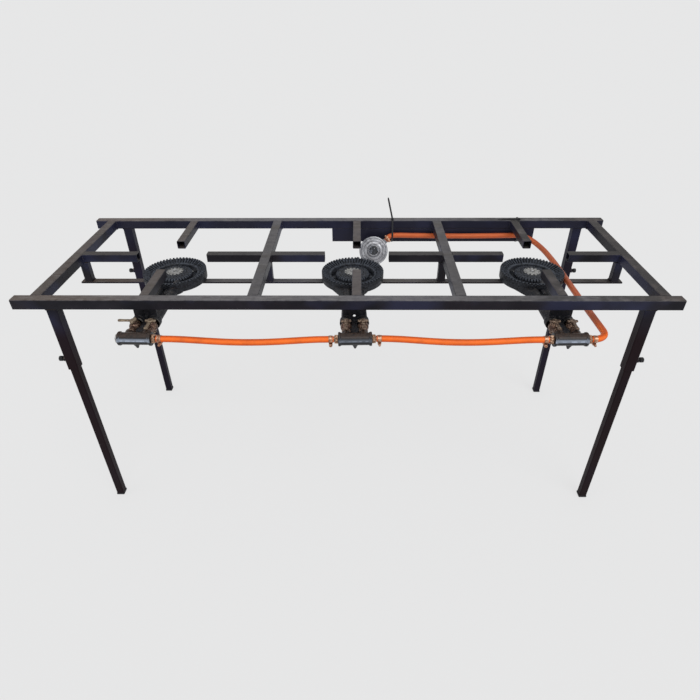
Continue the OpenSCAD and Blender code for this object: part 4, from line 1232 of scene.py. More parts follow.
@dataclass
class RingBurner:
    """A double-ring casting: toothed outer ring, inner burner and two mixing tubes.

    A tooth's cross-sections are radius, top and foot height. The floors of the outer
    slots rise with the ring's slope.
    """

    layout: Layout
    repeats: Repeats
    outer_teeth: int = 56
    outer_slot: float = 4.0
    outer_stations: tuple[Triple, ...] = (
        (61.4, 19.2, 14), (62.4, 19.9, 14.4), (66, 21.7, 16.2), (71, 24, 18.6), (75.6, 26.1, 20.8),
        (77.4, 26.9, 21.8), (80.2, 27, 22.4), (81.4, 26.7, 22.5), (82, 25.8, 22))
    outer_soft: float = 0.9
    slope_start: Pair = (62.2, 15.6)
    slope: float = 0.459
    rim_floor: float = 23.4
    inner_teeth: int = 36
    inner_slot: float = 2.5
    inner_stations: tuple[Triple, ...] = (
        (38, 19.7, 9.5), (38.8, 19.9, 10), (41, 19.6, 10), (42.4, 19.2, 10),
        (43.8, 17.5, 10), (44.6, 16.3, 9.5), (44.95, 15, 9))
    inner_soft: float = 0.6
    ports: int = 24
    port_at: float = 29.5
    port_r: float = 1.5
    port_floor: float = 13.5
    tube_lengths: Pair = (166.0, 207.0)
    tube_lean: float = 1.146
    mouth_y: float = -236.0
    plate_y: float = -225.5
    tongue_y: float = -282.5
    cap_r: float = 21.5
    cap_notches: int = 12
    notch_depth: float = 6.0
    notch_half: float = 2.2
    cap_top: float = 2.6
    bolt_flats: float = 9.6
    voxel: float = 1.2

    def tooth(self, count: int, slot: float, stations: Sequence[Triple], soft: float) -> Mesh:
        """One tooth between two flame slots, on the +X side.

        Args:
            count: Teeth round the ring.
            slot: Width of a slot.
            stations: Radius, top and foot height of each cross-section.
            soft: Rounding of the tooth's shoulders.

        Returns:
            The tooth in the ring's frame.
        """
        rings = []
        for radius, top, foot in stations:
            half = (2 * pi * radius / count - slot) / 2
            rings.append([(radius, t, z) for t, z in (
                (-half, foot), (-half + 0.08, top - soft), (-half + 0.35 * soft, top - 0.3 * soft),
                (-half + soft, top), (half - soft, top), (half - 0.35 * soft, top - 0.3 * soft),
                (half - 0.08, top - soft), (half, foot))])
        return Shape().loft(rings).mesh("tooth", 50.0)

    def ring_body(self, shape: Shape) -> None:
        """Adds the outer ring, up to the floors of its slots, to a shape in the ring's frame."""
        shape.lathe([
            (57, 0.9), (57, 16.4), (57.5, 17.5), (59, 18.4), (61, 19.4), (61.7, 19.5), (62.1, 18.6),
            self.slope_start, (66, 17.2), (72, 20), (77, 22.4), (79.2, 23.5), (80.8, 23.7), (81.6, 23.4),
            (82, 22.6), (81.9, 13.7), (82, 13.2), (82, 12.4), (81.8, 12), (81.7, 3.2), (81, 1.2),
            (79.6, 0), (57.9, 0)], 168, closed=True)

    def crown(self, radius: float) -> float:
        """Height of the inner burner's sloped top at a radius."""
        return 22 - (radius - 24) * 0.135

    def skin(self, shape: Shape, last: list, profile: Sequence[Pair]) -> None:
        """Turns the rest of the inner burner from one of its rings to its middle.

        Args:
            shape: Shape to add to.
            last: The ring's vertices.
            profile: Radius and height of each further ring.
        """
        count = len(last)
        for radius, z in profile:
            angles = [2 * pi * k / count for k in range(count)]
            ring = shape.ring([(radius * cos(a), radius * sin(a), z) for a in angles])
            shape.bridge(last, ring)
            last = ring
        shape.bridge(last, shape.ring([(0, 0, profile[-1][1])]))

    def port(self, shape: Shape, k: int, sides: int, border: list) -> None:
        """Sinks one round port into its field of the inner burner's top.

        Args:
            shape: Shape to add to.
            k: Number of the port.
            sides: Steps along each side of its field.
            border: Vertices round the field.
        """
        centre = 2 * pi * (k + 0.5) / self.ports
        spots = []
        for j in range(4 * sides):
            angle = radians(225 - j * 90 / sides)
            u, v = self.port_at + self.port_r * cos(angle), self.port_r * sin(angle)
            spots.append((u * cos(centre) - v * sin(centre), u * sin(centre) + v * cos(centre)))
        mouth = shape.ring([(x, y, self.crown(math.hypot(x, y))) for x, y in spots])
        deep = shape.ring([(x, y, self.port_floor) for x, y in spots])
        shape.bridge(border, mouth)
        shape.bridge(mouth, deep)
        shape.bm.faces.new(deep)

    def inner_body(self, shape: Shape) -> None:
        """Inner burner with a ring of round ports, up to the floors of its shoulder slots.

        Args:
            shape: Shape to add to.
        """
        low_r, high_r, sides = 26.0, 33.0, 4
        count = self.ports * sides

        def point(radius: float, k: int) -> tuple:
            """Point on the sloped top, k steps round."""
            angle = 2 * pi * k / count
            return radius * cos(angle), radius * sin(angle), self.crown(radius)

        low = shape.ring([point(low_r, k) for k in range(count)])
        high = shape.ring([point(high_r, k) for k in range(count)])
        radii = [low_r + (high_r - low_r) * k / sides for k in range(1, sides)]
        walls = [shape.ring([point(r, k * sides) for r in radii]) for k in range(self.ports)]
        for k in range(self.ports):
            start, stop = k * sides, (k + 1) * sides
            border = ([low[(start + j) % count] for j in range(sides + 1)]
                      + walls[(k + 1) % self.ports]
                      + [high[(stop - j) % count] for j in range(sides + 1)]
                      + list(reversed(walls[k])))
            self.port(shape, k, sides, border)
        self.skin(shape, low, [(24.4, 21.9), (23.4, 22), (12, 22)])
        self.skin(shape, high, [
            (37.4, 20.1), (38.2, 19.4), (38.4, 11.4), (39.2, 11), (43.6, 11), (44.7, 10.6),
            (45, 9.8), (45, 4.6), (44.2, 3.2), (41.8, 0.5), (40.8, 0), (12, 0)])

    def plate(self, shape: Shape, low: Sequence[float], high: Sequence[float], hole: Pair, radius: float,
              frame: Matrix) -> None:
        """Adds a plate with one round hole.

        Args:
            shape: Shape to add to.
            low: Lowest corner in the plate's frame, whose Z is across the plate.
            high: Highest corner.
            hole: Middle of the hole.
            radius: Radius of the hole.
            frame: Place of the plate.
        """
        (u, v), rim = hole, 1.5 * radius
        for a, b in (((low[0], low[1]), (u - radius, high[1])), ((u + radius, low[1]), (high[0], high[1])),
                     ((u - radius - 1, low[1]), (u + radius + 1, v - radius)),
                     ((u - radius - 1, v + radius), (u + radius + 1, high[1]))):
            shape.block((*a, low[2]), (*b, high[2]), frame)
        shape.lathe([(radius, low[2]), (rim, low[2]), (rim, high[2]), (radius, high[2])], 40,
                    frame @ shift(u, v, 0), closed=True)

    def mouth(self, side: int) -> Matrix:
        """Frame of a mixing tube's mouth in the burner's frame, with Z into the tube."""
        return (shift(side * self.layout.tap_half, self.mouth_y, self.layout.gas_axis)
                @ turn(side * self.tube_lean, "Z") @ ALONG_Y)

    def mixing_tubes(self) -> Mesh:
        """Tubes, neck, web, stop plate and tongue, melted together as a casting is.

        Returns:
            The mesh in the burner's frame.
        """
        shape, axis, end = Shape(), self.layout.gas_axis, self.tongue_y
        for side, length in zip((-1, 1), self.tube_lengths):
            shape.lathe([
                (0, 60), (8.5, 60), (8.5, 20), (9.2, 16.5), (10.8, 10), (12, 4.5), (12.7, 1.8),
                (13.1, 0.4), (13.5, 0), (14.1, 0.1), (14.5, 0.7), (14.5, 14.2), (14, 15.3), (12.6, 19.3),
                (11.7, 22.6), (11.5, 24.5), (11.5, length - 6), (10, length - 2), (0, length)],
                64, self.mouth(side))
        neck = [(-27.5, -101), (-44.3, -72.6), (-75, -18), (-59, -22), (-16.5, -59), (-16.5, -101)]
        shape.prism(neck, 1, 19)
        web = [(27.5, -104), (27, -84), (34, -76), (38, -68), (0, -62), (0, -104)]
        shape.prism(web, 1, 17)
        self.plate(shape, (-18, self.plate_y, -1.5), (18, -74, 1.5), (0, self.mouth_y + 35), 6.5,
                   shift(0, 0, axis))
        upright = shift(0, self.plate_y, 0) @ turn(90, "X")
        self.plate(shape, (-27, axis, -4.5), (27, 44, 0), (0, 24), 3.3, upright)
        shape.block((-5.6, end, axis - 2.5), (5.6, self.plate_y + 3, axis + 2.5), bevel=0.8)
        right = [(7.4, end), (7.4, end + 8.7), (10.6, end + 9.9), (10.6, end + 20.5), (7, end + 27),
                 (7.0, end + 56.5)]
        tongue = right + [(-x, y) for x, y in reversed(right)]
        shape.prism(tongue[-1:] + tongue[:-1], axis - 2.8, axis + 2.8)
        return melt(shape.mesh("mixer"), self.voxel, 3)

    def lips(self) -> Mesh:
        """Machined edges of the two mouths, bare of enamel.

        Returns:
            The mesh in the burner's frame.
        """
        shape = Shape()
        edge = [(13, 0.7), (13.35, 0), (13.8, -0.25), (14.3, 0), (14.6, 0.8), (14.6, 2.2), (13, 2.2)]
        for side in (-1, 1):
            shape.lathe(edge, 56, self.mouth(side), closed=True)
        return shape.mesh("lips", 30.0)

    def casting(self) -> Mesh:
        """Rings, inner burner and arms, with the attribute that places the enamel's painted highlight on
        the tooth tips.

        Returns:
            The mesh in the burner's frame.
        """
        shape = Shape()
        self.ring_body(shape)
        self.inner_body(shape)
        outer = self.tooth(self.outer_teeth, self.outer_slot, self.outer_stations, self.outer_soft)
        inner = self.tooth(self.inner_teeth, self.inner_slot, self.inner_stations, self.inner_soft)
        for mesh, count, first in ((outer, self.outer_teeth, 0.0),
                                   (inner, self.inner_teeth, pi / self.inner_teeth)):
            shape.absorb(self.repeats.around(mesh, IRON, count, first))
        whole = Shape().absorb(shape.mesh("rings", 40.0), shift(0, 0, self.layout.ring_lift))
        self.webs(whole)
        made = whole.mesh("casting", 40.0)
        # Painted highlight on the tooth tips: the attribute that the enamel reads.
        wear = made.attributes.new("wear", "FLOAT", "POINT")
        wear.data.foreach_set("value", [self.wear(v.co) for v in made.vertices])
        return made

    def webs(self, shape: Shape) -> None:
        """Arms between the rings, webs that close two of the gaps, and the bolt's boss.

        Args:
            shape: Shape to add to.
        """
        for angle in (0, 90, 180):
            shape.block((39, -7, 0), (61, 7, 11.5), turn(angle, "Z"), 1.4)
        for first in (-8, 128):
            angles = [radians(first + 4 * k) for k in range(16)]
            shape.prism([(58 * cos(a), 58 * sin(a)) for a in angles]
                        + [(44 * cos(a), 44 * sin(a)) for a in reversed(angles)], 1, 6)
        shape.lathe([(3.2, 0), (11.4, 0), (12, 0.6), (12, 6), (3.2, 6)], 40, closed=True)

    def wear(self, spot: Vector) -> float:
        """How much painted highlight the enamel gets at a point of the casting: 1 on the tooth tips, 0 in
        the slots.

        Args:
            spot: The point, in the burner's frame.

        Returns:
            Between 0 and 1.
        """
        radius, height = math.hypot(spot.x, spot.y), spot.z - self.layout.ring_lift
        if radius > 61:
            start_r, start_z = self.slope_start
            floor = min(start_z + self.slope * (radius - start_r), self.rim_floor)
            return min(1.0, max(0.0, (height - floor - 1.8) / 1.8))
        return min(1.0, max(0.0, (height - 14.0) / 4.0)) if radius > 37.5 else 0.0

    def cap_outline(self, inset: float) -> list[Pair]:
        """Edge of the cap with its notches.

        Args:
            inset: How far inside the full edge the outline runs.

        Returns:
            Points in order round the cap.
        """
        radius, half = self.cap_r - inset, self.notch_half + inset
        floor = self.cap_r - self.notch_depth + self.notch_half
        side = math.asin(half / radius)
        pitch = 2 * pi / self.cap_notches
        points = []
        for k in range(self.cap_notches):
            for t in (0.0, 0.25, 0.5, 0.75, 1.0):
                angle = k * pitch + side + (pitch - 2 * side) * t
                points.append((radius * cos(angle), radius * sin(angle)))
            notch = (k + 1) * pitch
            for t in range(9):
                angle = radians(-90 - 22.5 * t)
                x, y = floor + half * cos(angle), half * sin(angle)
                points.append((x * cos(notch) - y * sin(notch), x * sin(notch) + y * cos(notch)))
        return points

    def cap(self) -> Mesh:
        """Flat pressed cap with twelve deep notches and a slightly raised middle.

        Returns:
            The mesh, standing on its underside.
        """
        shape, top = Shape(), self.cap_top
        shape.loft([[(x, y, z) for x, y in self.cap_outline(inset)]
                    for inset, z in ((0.35, 0), (0, 0.35), (0, 1.5), (0.2, 1.85), (0.6, 1.95))])
        shape.lathe([(0, 1.2), (14.6, 1.2), (14.6, 1.9), (13.4, 2.05), (9.4, 2.5), (8, top), (0, top)], 72)
        return shape.mesh("cap", 30.0)

    def fixings(self) -> Mesh:
        """Bolt head above, nut and thread end below.

        Returns:
            The mesh in the burner's frame.
        """
        shape, top = Shape(), self.layout.cap_z + self.cap_top
        head = corner(self.bolt_flats)
        shape.lathe([(0, top - 0.1), (6.3, top - 0.1), (6.5, top + 0.1), (6.5, top + 0.6), (6.2, top + 0.8),
                     (0, top + 0.8)], 40)
        shape.lathe([(0, top), (head, top), (head, top + 3.2), (head - 0.8, top + 3.9), (0, top + 3.9)], 6)
        shape.lathe([(0, -3.9), (head, -4), (head, -8.4), (head - 0.7, -8.8), (0, -8.8)], 6)
        shape.lathe([(0, -4), (3, -4), (3, -15.4), (2.4, -16), (0, -16)], 24)
        return shape.mesh("fixings", 25.0)

    def build(self) -> None:
        """Places the three burners with their caps and fixings."""
        casting, cap, fixings, tubes = self.casting(), self.cap(), self.fixings(), self.mixing_tubes()
        bolts, rims, lips = Shape(), Shape(), self.lips()
        for i, side in enumerate(self.layout.sides):
            place = self.layout.burner(i)
            rims.absorb(lips, place)
            dress(casting.copy(), "casting_" + side, IRON, place, nodes=["burner_casting_" + side])
            dress(tubes.copy(), "mixing_tubes_" + side, DARK_TUBE_IRON, place)
            dress(cap.copy(), "cap_" + side, CAP, place @ shift(0, 0, self.layout.cap_z),
                  nodes=["burner_cap_" + side])
            bolts.absorb(fixings, place)
        dress(rims.mesh("mouth_lips", 30.0), "mouth_lips", BARE)
        dress(bolts.mesh("burner_bolts", 25.0), "burner_bolts", ZINC, nodes=["burner_fixings"])


# ---- Manifolds, taps and hose ends ----


@dataclass
class TapSet:
    """One burner's manifold with its two ball-bodied taps and jets."""

    layout: Layout
    hands: tuple[tuple[int, str], ...] = ((-1, "a"), (1, "b"))
    shut: tuple[str, str] = ("left", "a")
    pipe_r: float = 14.0
    flange_r: float = 16.0
    ball: float = 12.8
    foot: float = 11.5
    rise: float = 13.5
    top_r: float = 9.0
    play: float = 0.3
    neck_flats: float = 20.0
    hub_r: float = 7.0
    voxel: float = 0.8

    def manifold(self) -> Mesh:
        """Cast manifold with end flanges, tap bosses and the pointed nub below.

        Returns:
            The mesh, with X along the pipe.
        """
        shape, half = Shape(), self.layout.manifold_half
        r, flange = self.pipe_r, self.flange_r
        end = [(r, half - 6.6), (flange - 0.8, half - 5.6), (flange, half - 4.6), (flange, half - 1),
               (flange - 1.1, half), (0, half)]
        shape.lathe([(radius, -x) for radius, x in reversed(end)] + end, 72, ALONG_X)
        for x, radius, reach in ((-self.layout.tap_half, 11, 22), (self.layout.tap_half, 11, 22),
                                 (0.0, 6.5, 18.0)):
            shape.lathe([(0, 0), (radius, 0), (radius, reach - 0.8), (radius - 0.8, reach), (0, reach)],
                        44, shift(x, 0, 0) @ ALONG_Y)
        shape.lathe([(0, -25.2), (1.7, -24.9), (2.7, -23.8), (3.6, -21.2), (5.4, -17.2), (7.1, -14.6),
                     (7.6, -13), (7.6, -9), (0, -9)], 36)
        return melt(shape.mesh("manifold"), self.voxel, 4)

    def arc(self, start: float, stop: float, count: int) -> list[Pair]:
        """Points of the ball's outline between two latitudes, in degrees."""
        angles = [radians(start + (stop - start) * k / count) for k in range(count + 1)]
        return [(self.ball * cos(a), self.ball * sin(a)) for a in angles]

    def body(self) -> Mesh:
        """Tap body: ball, flat top and foot, and the neck with its hexagon to the manifold.

        Returns:
            The mesh in the tap's frame.
        """
        shape, r, rise = Shape(), self.top_r, self.rise
        hexagon = corner(self.neck_flats)
        shape.lathe([(0, -28.5), (hexagon - 1, -28.5), (hexagon, -27.7), (hexagon, -24.3),
                     (hexagon - 1, -23.5), (0, -23.5)], 6, ALONG_Y, phase=30)
        shape.lathe([(0, -24), (8, -24), (8, -20.8), (7.3, -20.2), (7.3, -18.8), (8, -18.2), (8, -10.2),
                     (8.6, -9.6), (8.6, 0), (0, 0)], 44, ALONG_Y)
        shape.lathe([(0, 8), (7.6, 8), (7.6, 11.6), (7, 12.3), (0, 12.3)], 44, ALONG_Y)
        low, high = math.degrees(math.asin(self.foot / self.ball)), math.degrees(math.acos(r / self.ball))
        shape.lathe([(0, -self.foot), (5, -self.foot), *self.arc(-low, high, 14), (r, 10), (8.7, 10.4),
                     (8.7, 10.9), (r, 11.3), (r, rise - 0.6), (8.4, rise), (0, rise)], 56)
        shape.block((6, -1.4, rise - 0.4), (8.6, 1.4, rise + 1.9), turn(-38, "Z"), 0.5)
        return shape.mesh("tap_body", 28.0)

    def jet(self) -> Mesh:
        """Gas jet in the mixing tube's mouth.

        Returns:
            The mesh in the tap's frame.
        """
        shape = Shape()
        shape.lathe([(0, 13.1), (6.2, 13.1), (6.9, 13.7), (6.9, 16.2), (6.2, 16.9), (0, 16.9)], 6, ALONG_Y)
        shape.lathe([(0, 16.6), (4, 16.6), (4, 17.4), (2.9, 21.2), (2.4, 22), (0.7, 22), (0.5, 21.4),
                     (0, 21.4)], 28, ALONG_Y)
        return shape.mesh("jet", 28.0)

    def bar(self, shape: Shape, stations: Sequence[Pair], low: float, high: float, frame: Matrix) -> None:
        """Adds a forged bar along Y with rounded edges.

        Args:
            shape: Shape to add to.
            stations: Y and half width of each cross-section.
            low: Underside.
            high: Top.
            frame: Place of the bar.
        """
        rings = []
        for k, (y, half) in enumerate(stations):
            dip = 0.5 if k in (0, len(stations) - 1) else 0.0
            soft = min(1.0, half * 0.4)
            rings.append([(x, y, z) for x, z in (
                (-half + soft, low + dip), (half - soft, low + dip), (half, low + dip + 0.7 * soft),
                (half, high - dip - soft), (half - soft, high - dip), (-half + soft, high - dip),
                (-half, high - dip - soft), (-half, low + dip + 0.7 * soft))])
        shape.loft(rings, frame)

    def lever(self) -> Mesh:
        """Plug, hub, arm and cross bar of a tap, with the arm towards the user.

        Returns:
            The mesh in the tap's frame, open position.
        """
        shape, r = Shape(), self.hub_r
        under = self.rise + self.play
        top, foot = under + 4.0, -self.foot - self.play
        shape.lathe([
            (0, foot - 3.5), (2.4, foot - 3.5), (r, foot - 3.5), (r + 0.5, foot - 3),
            (r + 0.5, foot - 0.5), (r, foot), (5.5, foot), (5.5, under), (6.4, under), (r, under + 0.5),
            (r, top + 0.2), (6.3, top + 0.8), (4.4, top + 1), (0, top + 1)], 40)
        arm = [(0, 3.6), (-6, 3.6), (-12, 3.4), (-20, 3.3), (-26, 3.5), (-31, 4), (-34, 3.6),
               (-35.4, 2.6), (-36, 1.4)]
        self.bar(shape, arm, under, top, IDENTITY)
        cross = [(-12, 2.2), (-11.4, 3.1), (-9, 3.6), (9, 3.6), (11.4, 3.1), (12, 2.2)]
        self.bar(shape, cross, under, top, turn(90, "Z"))
        return shape.mesh("lever", 32.0)

    def build(self) -> None:
        """Places manifolds, taps, jets and levers of all three burners."""
        manifold, body, jet, lever = self.manifold(), self.body(), self.jet(), self.lever()
        jets = Shape()
        for i, side in enumerate(self.layout.sides):
            dress(manifold.copy(), "gas_manifold_" + side, DULL_SHEEN if side == "middle" else SHEEN,
                  self.layout.burner(i) @ shift(0, self.layout.manifold_y, self.layout.gas_axis),
                  nodes=["manifold_" + side])
            bodies = Shape()
            for hand, letter in self.hands:
                tap = self.layout.tap(i, hand)
                bodies.absorb(body, tap)
                jets.absorb(jet, tap)
                swing = -90 if (side, letter) == self.shut else 0
                node = "tap_lever_%s_%s" % (side, letter)
                dress(lever.copy(), node + "_arm", LEVER if side == "left" else DULL_LEVER,
                      tap @ turn(swing, "Z"), node, [node])
            dress(bodies.mesh("taps_" + side, 28.0), "taps_" + side, BRONZE, nodes=["tap_bodies_" + side])
        dress(jets.mesh("jets", 28.0), "jets", BRASS, nodes=["gas_jets"])


@dataclass
class HoseEnds:
    """Hose tails, worm-drive clamps and the blanking plug."""

    layout: Layout
    ends: tuple[tuple[int, int], ...] = ((0, 1), (1, -1), (1, 1), (2, -1), (2, 1))
    flats: float = 19.0
    clamp_start: float = 12.0
    outlet_clamp_start: float = 2.0
    clamp_play: float = 0.15
    notches: int = 16
    notch_step: float = 9.0
    first_notch: float = 200.0

    def tail(self) -> Mesh:
        """Brass tail with its hexagon on the manifold's face, along +X.

        Returns:
            The mesh in the frame of a manifold's end.
        """
        shape, hexagon = Shape(), corner(self.flats)
        shape.lathe([(0, -2), (7.4, -2), (7.4, 0.05), (hexagon - 1, 0.05), (hexagon, 0.9), (hexagon, 7.1),
                     (hexagon - 1, 8), (0, 8)], 6, ALONG_X)
        shape.lathe([(0, 7.9), (6.5, 7.9), (6.5, 9.7), (6.2, 9.98), (3.4, 9.98), (3.2, 21), (2.2, 22),
                     (0, 22)], 32, ALONG_X)
        return shape.mesh("tail", 28.0)

    def clamp(self) -> Mesh:
        """Worm-drive clamp round a hose along +X, its screw below.

        Returns:
            The mesh, starting at X = 0.
        """
        inside = self.layout.hose_d / 2 + self.clamp_play
        shape = Shape()
        shape.lathe([(inside, 0.1), (inside, 8.9), (inside + 0.35, 9), (inside + 0.75, 8.8),
                     (inside + 0.6, 8), (inside + 0.6, 1), (inside + 0.75, 0.2), (inside + 0.35, 0)],
                    64, ALONG_X, closed=True)
        low, middle = -inside - 5.6, 4.5
        shape.block((0.4, -6.6, low + 0.4), (8.6, 6.6, low + 5.2), bevel=1.3)
        shape.block((1, -7.4, low + 3.6), (8, 7.4, low + 5.4), bevel=0.5)
        screw = shift(middle, 0, low + 2.6) @ ALONG_Y
        shape.lathe([(0, -12), (2.2, -12), (2.75, -11.4), (2.75, 5.6), (2.3, 6.2), (0, 6.2)], 24, screw)
        shape.lathe([(0, 6), (4, 6), (4, 10.6), (3.4, 11.4), (0, 11.4)], 6, screw)
        shape.lathe([(0, 11.3), (1.2, 11.3), (1.2, 11.9), (0, 11.9)], 16, screw)
        for k in range(self.notches):
            angle = radians(self.first_notch + k * self.notch_step)
            y, z = cos(angle + pi), abs(sin(angle))
            face = (shift(middle, (inside + 0.68) * y, (inside + 0.68) * z)
                    @ turn(-math.degrees(math.atan2(y, z)), "X"))
            shape.block((-2.4, -0.3, -0.16), (2.4, 0.3, 0.16), face @ turn(10, "Z"))
        return shape.mesh("clamp", 28.0)

    def plug(self) -> Mesh:
        """Hollow hexagon plug for a manifold's end, along +X.

        Returns:
            The mesh in the frame of a manifold's end.
        """
        shape, hexagon = Shape(), corner(self.flats)
        shape.lathe([(0, -2), (7.3, -2), (7.3, 0.05), (hexagon - 1, 0.05), (hexagon, 0.8), (hexagon, 4.2),
                     (hexagon - 1, 5), (5.2, 5), (4.6, 4.6), (4.6, 2.2), (0, 2.2)], 6, ALONG_X)
        return shape.mesh("end_plug", 25.0)

    def build(self) -> None:
        """Places the tails, clamps and plug."""
        lay, tail, clamp = self.layout, self.tail(), self.clamp()
        tails, clamps = Shape(), Shape()
        for i, side in self.ends:
            face = lay.hose_face(i, side)
            tails.absorb(tail, face)
            clamps.absorb(clamp, face @ shift(self.clamp_start, 0, 0))
        outlet = lay.regulator() @ shift(lay.outlet_face + self.outlet_clamp_start, 0, lay.chamber_z)
        clamps.absorb(clamp, outlet @ turn(180, "X"))
        dress(tails.mesh("hose_tails", 28.0), "hose_tails", BRASS, nodes=["hose_barbs"])
        dress(clamps.mesh("worm_clamps", 28.0), "worm_clamps", CLAMP, nodes=["hose_clamps"])
        dress(self.plug(), "end_plug", ZINC, lay.hose_face(0, -1), nodes=["manifold_plug"])


# ---- Regulator ----


@dataclass
class Regulator:
    """Low-pressure regulator with a crimped rim, a screwed cap and a cylinder fitting."""

    layout: Layout
    repeats: Repeats
    radius: float = 42.0
    screws: int = 6
    first_screw: float = 0.3
    cap_r: float = 13.5
    cap_ribs: int = 30
    inlet_x: float = -30.0
    nut_x: float = -46.3
    nut_r: float = 16.4
    nut_lobes: int = 12

    def back(self) -> Mesh:
        """Rear shell with the chamber and the outlet.

        Returns:
            The mesh in the regulator's frame.
        """
        shape, r = Shape(), self.radius
        chamber = shift(0, 0, self.layout.chamber_z) @ ALONG_X
        shape.lathe([(0, -22), (11.4, -22), (13, -21.2), (14.6, -19.6), (19.6, -17.2), (21, -16.2),
                     (r - 8, -9.6), (r - 6.4, -8.6), (r - 5.2, -6.6), (r - 5, -4.4), (r - 4.4, -4),
                     (r - 0.9, -4), (r, -3.2), (r, -0.9), (0, -0.9)], 96)
        end = [(6.8, 35), (7, 36), (7, 41.4), (6.4, 42), (0, 42)]
        shape.lathe([(radius, -x) for radius, x in reversed(end)] + end, 40, chamber)
        shape.lathe([(0, 41.8), (8.2, 41.8), (8.8, 42.4), (8.8, 46.4), (8.2, 47), (6.5, 47),
                     (6.5, 48), (3.4, 48), (3.2, 58), (0, 58)], 6, chamber)
        return shape.mesh("regulator_back", 28.0)

    def front(self) -> Mesh:
        """Stepped cover with its screws and the "radius" attribute that its finish reads.

        Returns:
            The mesh in the regulator's frame.
        """
        shape, r = Shape(), self.radius
        shape.lathe([
            (0, 1), (r, 1), (r, 3), (r - 0.6, 3.8), (r - 2.4, 4.5), (r - 3.4, 4.6), (r - 4.2, 5.2),
            (r - 5, 7), (r - 6, 7.6), (r - 8.6, 7.7), (r - 9.6, 8.2), (r - 10.6, 10), (r - 11.6, 10.5),
            (r - 14.8, 10.6), (r - 15.8, 11.2), (r - 16.6, 13), (r - 17.6, 13.4), (18, 14), (16.9, 14.5),
            (15.4, 18.8), (14.8, 19.6), (13.8, 20), (12.2, 20), (12, 17), (0, 17)], 96)
        head = Shape().lathe([(0, 4.2), (2.4, 4.2), (2.6, 4.5), (2.5, 5.9), (1.6, 6.6), (0, 6.7)], 14,
                             shift(r - 3.0, 0, 0))
        shape.absorb(self.repeats.around(head.mesh("screw"), ALLOY, self.screws, self.first_screw))
        cover = shape.mesh("regulator_front", 28.0)
        radii = cover.attributes.new("radius", "FLOAT", "POINT")
        radii.data.foreach_set("value", [math.hypot(v.co.x, v.co.y) / 1000 for v in cover.vertices])
        return cover

    def cap(self) -> Mesh:
        """Ribbed spring cap with a raised bar across it.

        Returns:
            The mesh in the regulator's frame.
        """
        shape, r = Shape(), self.cap_r
        shape.lathe([(0, 19), (r - 0.9, 19), (r - 0.9, 20.2), (r - 0.4, 20.4), (r, 21), (r, 23.2),
                     (r - 0.7, 24), (10.6, 24.2), (10, 23.4), (4.4, 23.2), (0, 23.2)], 48)
        shape.block((-8, -1.4, 23), (8, 1.4, 24.1), turn(35, "Z"), 0.4)
        rib = Shape().block((r - 0.3, -0.5, 20.6), (r + 0.3, 0.5, 23.4), bevel=0.2)
        shape.absorb(self.repeats.around(rib.mesh("rib"), PLASTIC, self.cap_ribs))
        return shape.mesh("spring_cap", 28.0)

    def inlet(self) -> Mesh:
        """Brass spigot that the hand nut turns on.

        Returns:
            The mesh in the regulator's frame.
        """
        axis = shift(self.inlet_x, 0, self.layout.chamber_z) @ turn(-90, "Y")
        return Shape().lathe([
            (0, 11), (7.2, 12.1), (7.5, 12.4), (7.5, 15.7), (7.2, 16), (5.4, 16), (5.4, 40), (6.4, 40),
            (7, 40.6), (7, 45.6), (6.7, 46.4), (4.4, 50.6), (3.6, 51), (2, 51), (1.8, 48), (0, 48)],
            40, axis).mesh("inlet_spigot", 28.0)

    def nut(self) -> Mesh:
        """Lobed hand nut.

        Returns:
            The mesh, with Z along the nut's axis.
        """
        shape, r = Shape(), self.nut_r
        shape.lathe([(5.45, 0), (r - 0.8, 0), (r, 0.8), (r, 11.2), (r - 0.8, 12), (10.4, 12), (10, 12.4),
                     (10, 22.2), (9.4, 23), (5.45, 23)], 72, closed=True)
        lobe = Shape().lathe([(0, 0.4), (2.1, 0.4), (2.6, 1), (2.6, 11), (2.1, 11.6), (0, 11.6)], 14,
                             shift(r - 1.5, 0, 0))
        half_step = pi / self.nut_lobes
        shape.absorb(self.repeats.around(lobe.mesh("lobe"), PLASTIC, self.nut_lobes, half_step))
        return shape.mesh("hand_nut_grip", 28.0)

    def build(self) -> None:
        """Places the shells, cap, inlet and hand nut."""
        place = self.layout.regulator()
        dress(self.back(), "regulator_back", ALLOY, place, nodes=["regulator_body"])
        dress(self.front(), "regulator_front", RINGS, place, nodes=["regulator_cover"])
        dress(self.cap(), "spring_cap", KNOB, place, nodes=["regulator_cap"])
        dress(self.inlet(), "inlet_spigot", BRASS, place, nodes=["regulator_inlet"])
        nut_axis = shift(self.nut_x, 0, self.layout.chamber_z) @ turn(-90, "Y")
        dress(self.nut(), "hand_nut_grip", PLASTIC, place @ nut_axis, "hand_nut", ["regulator_hand_nut"])


# ---- Frame details ----


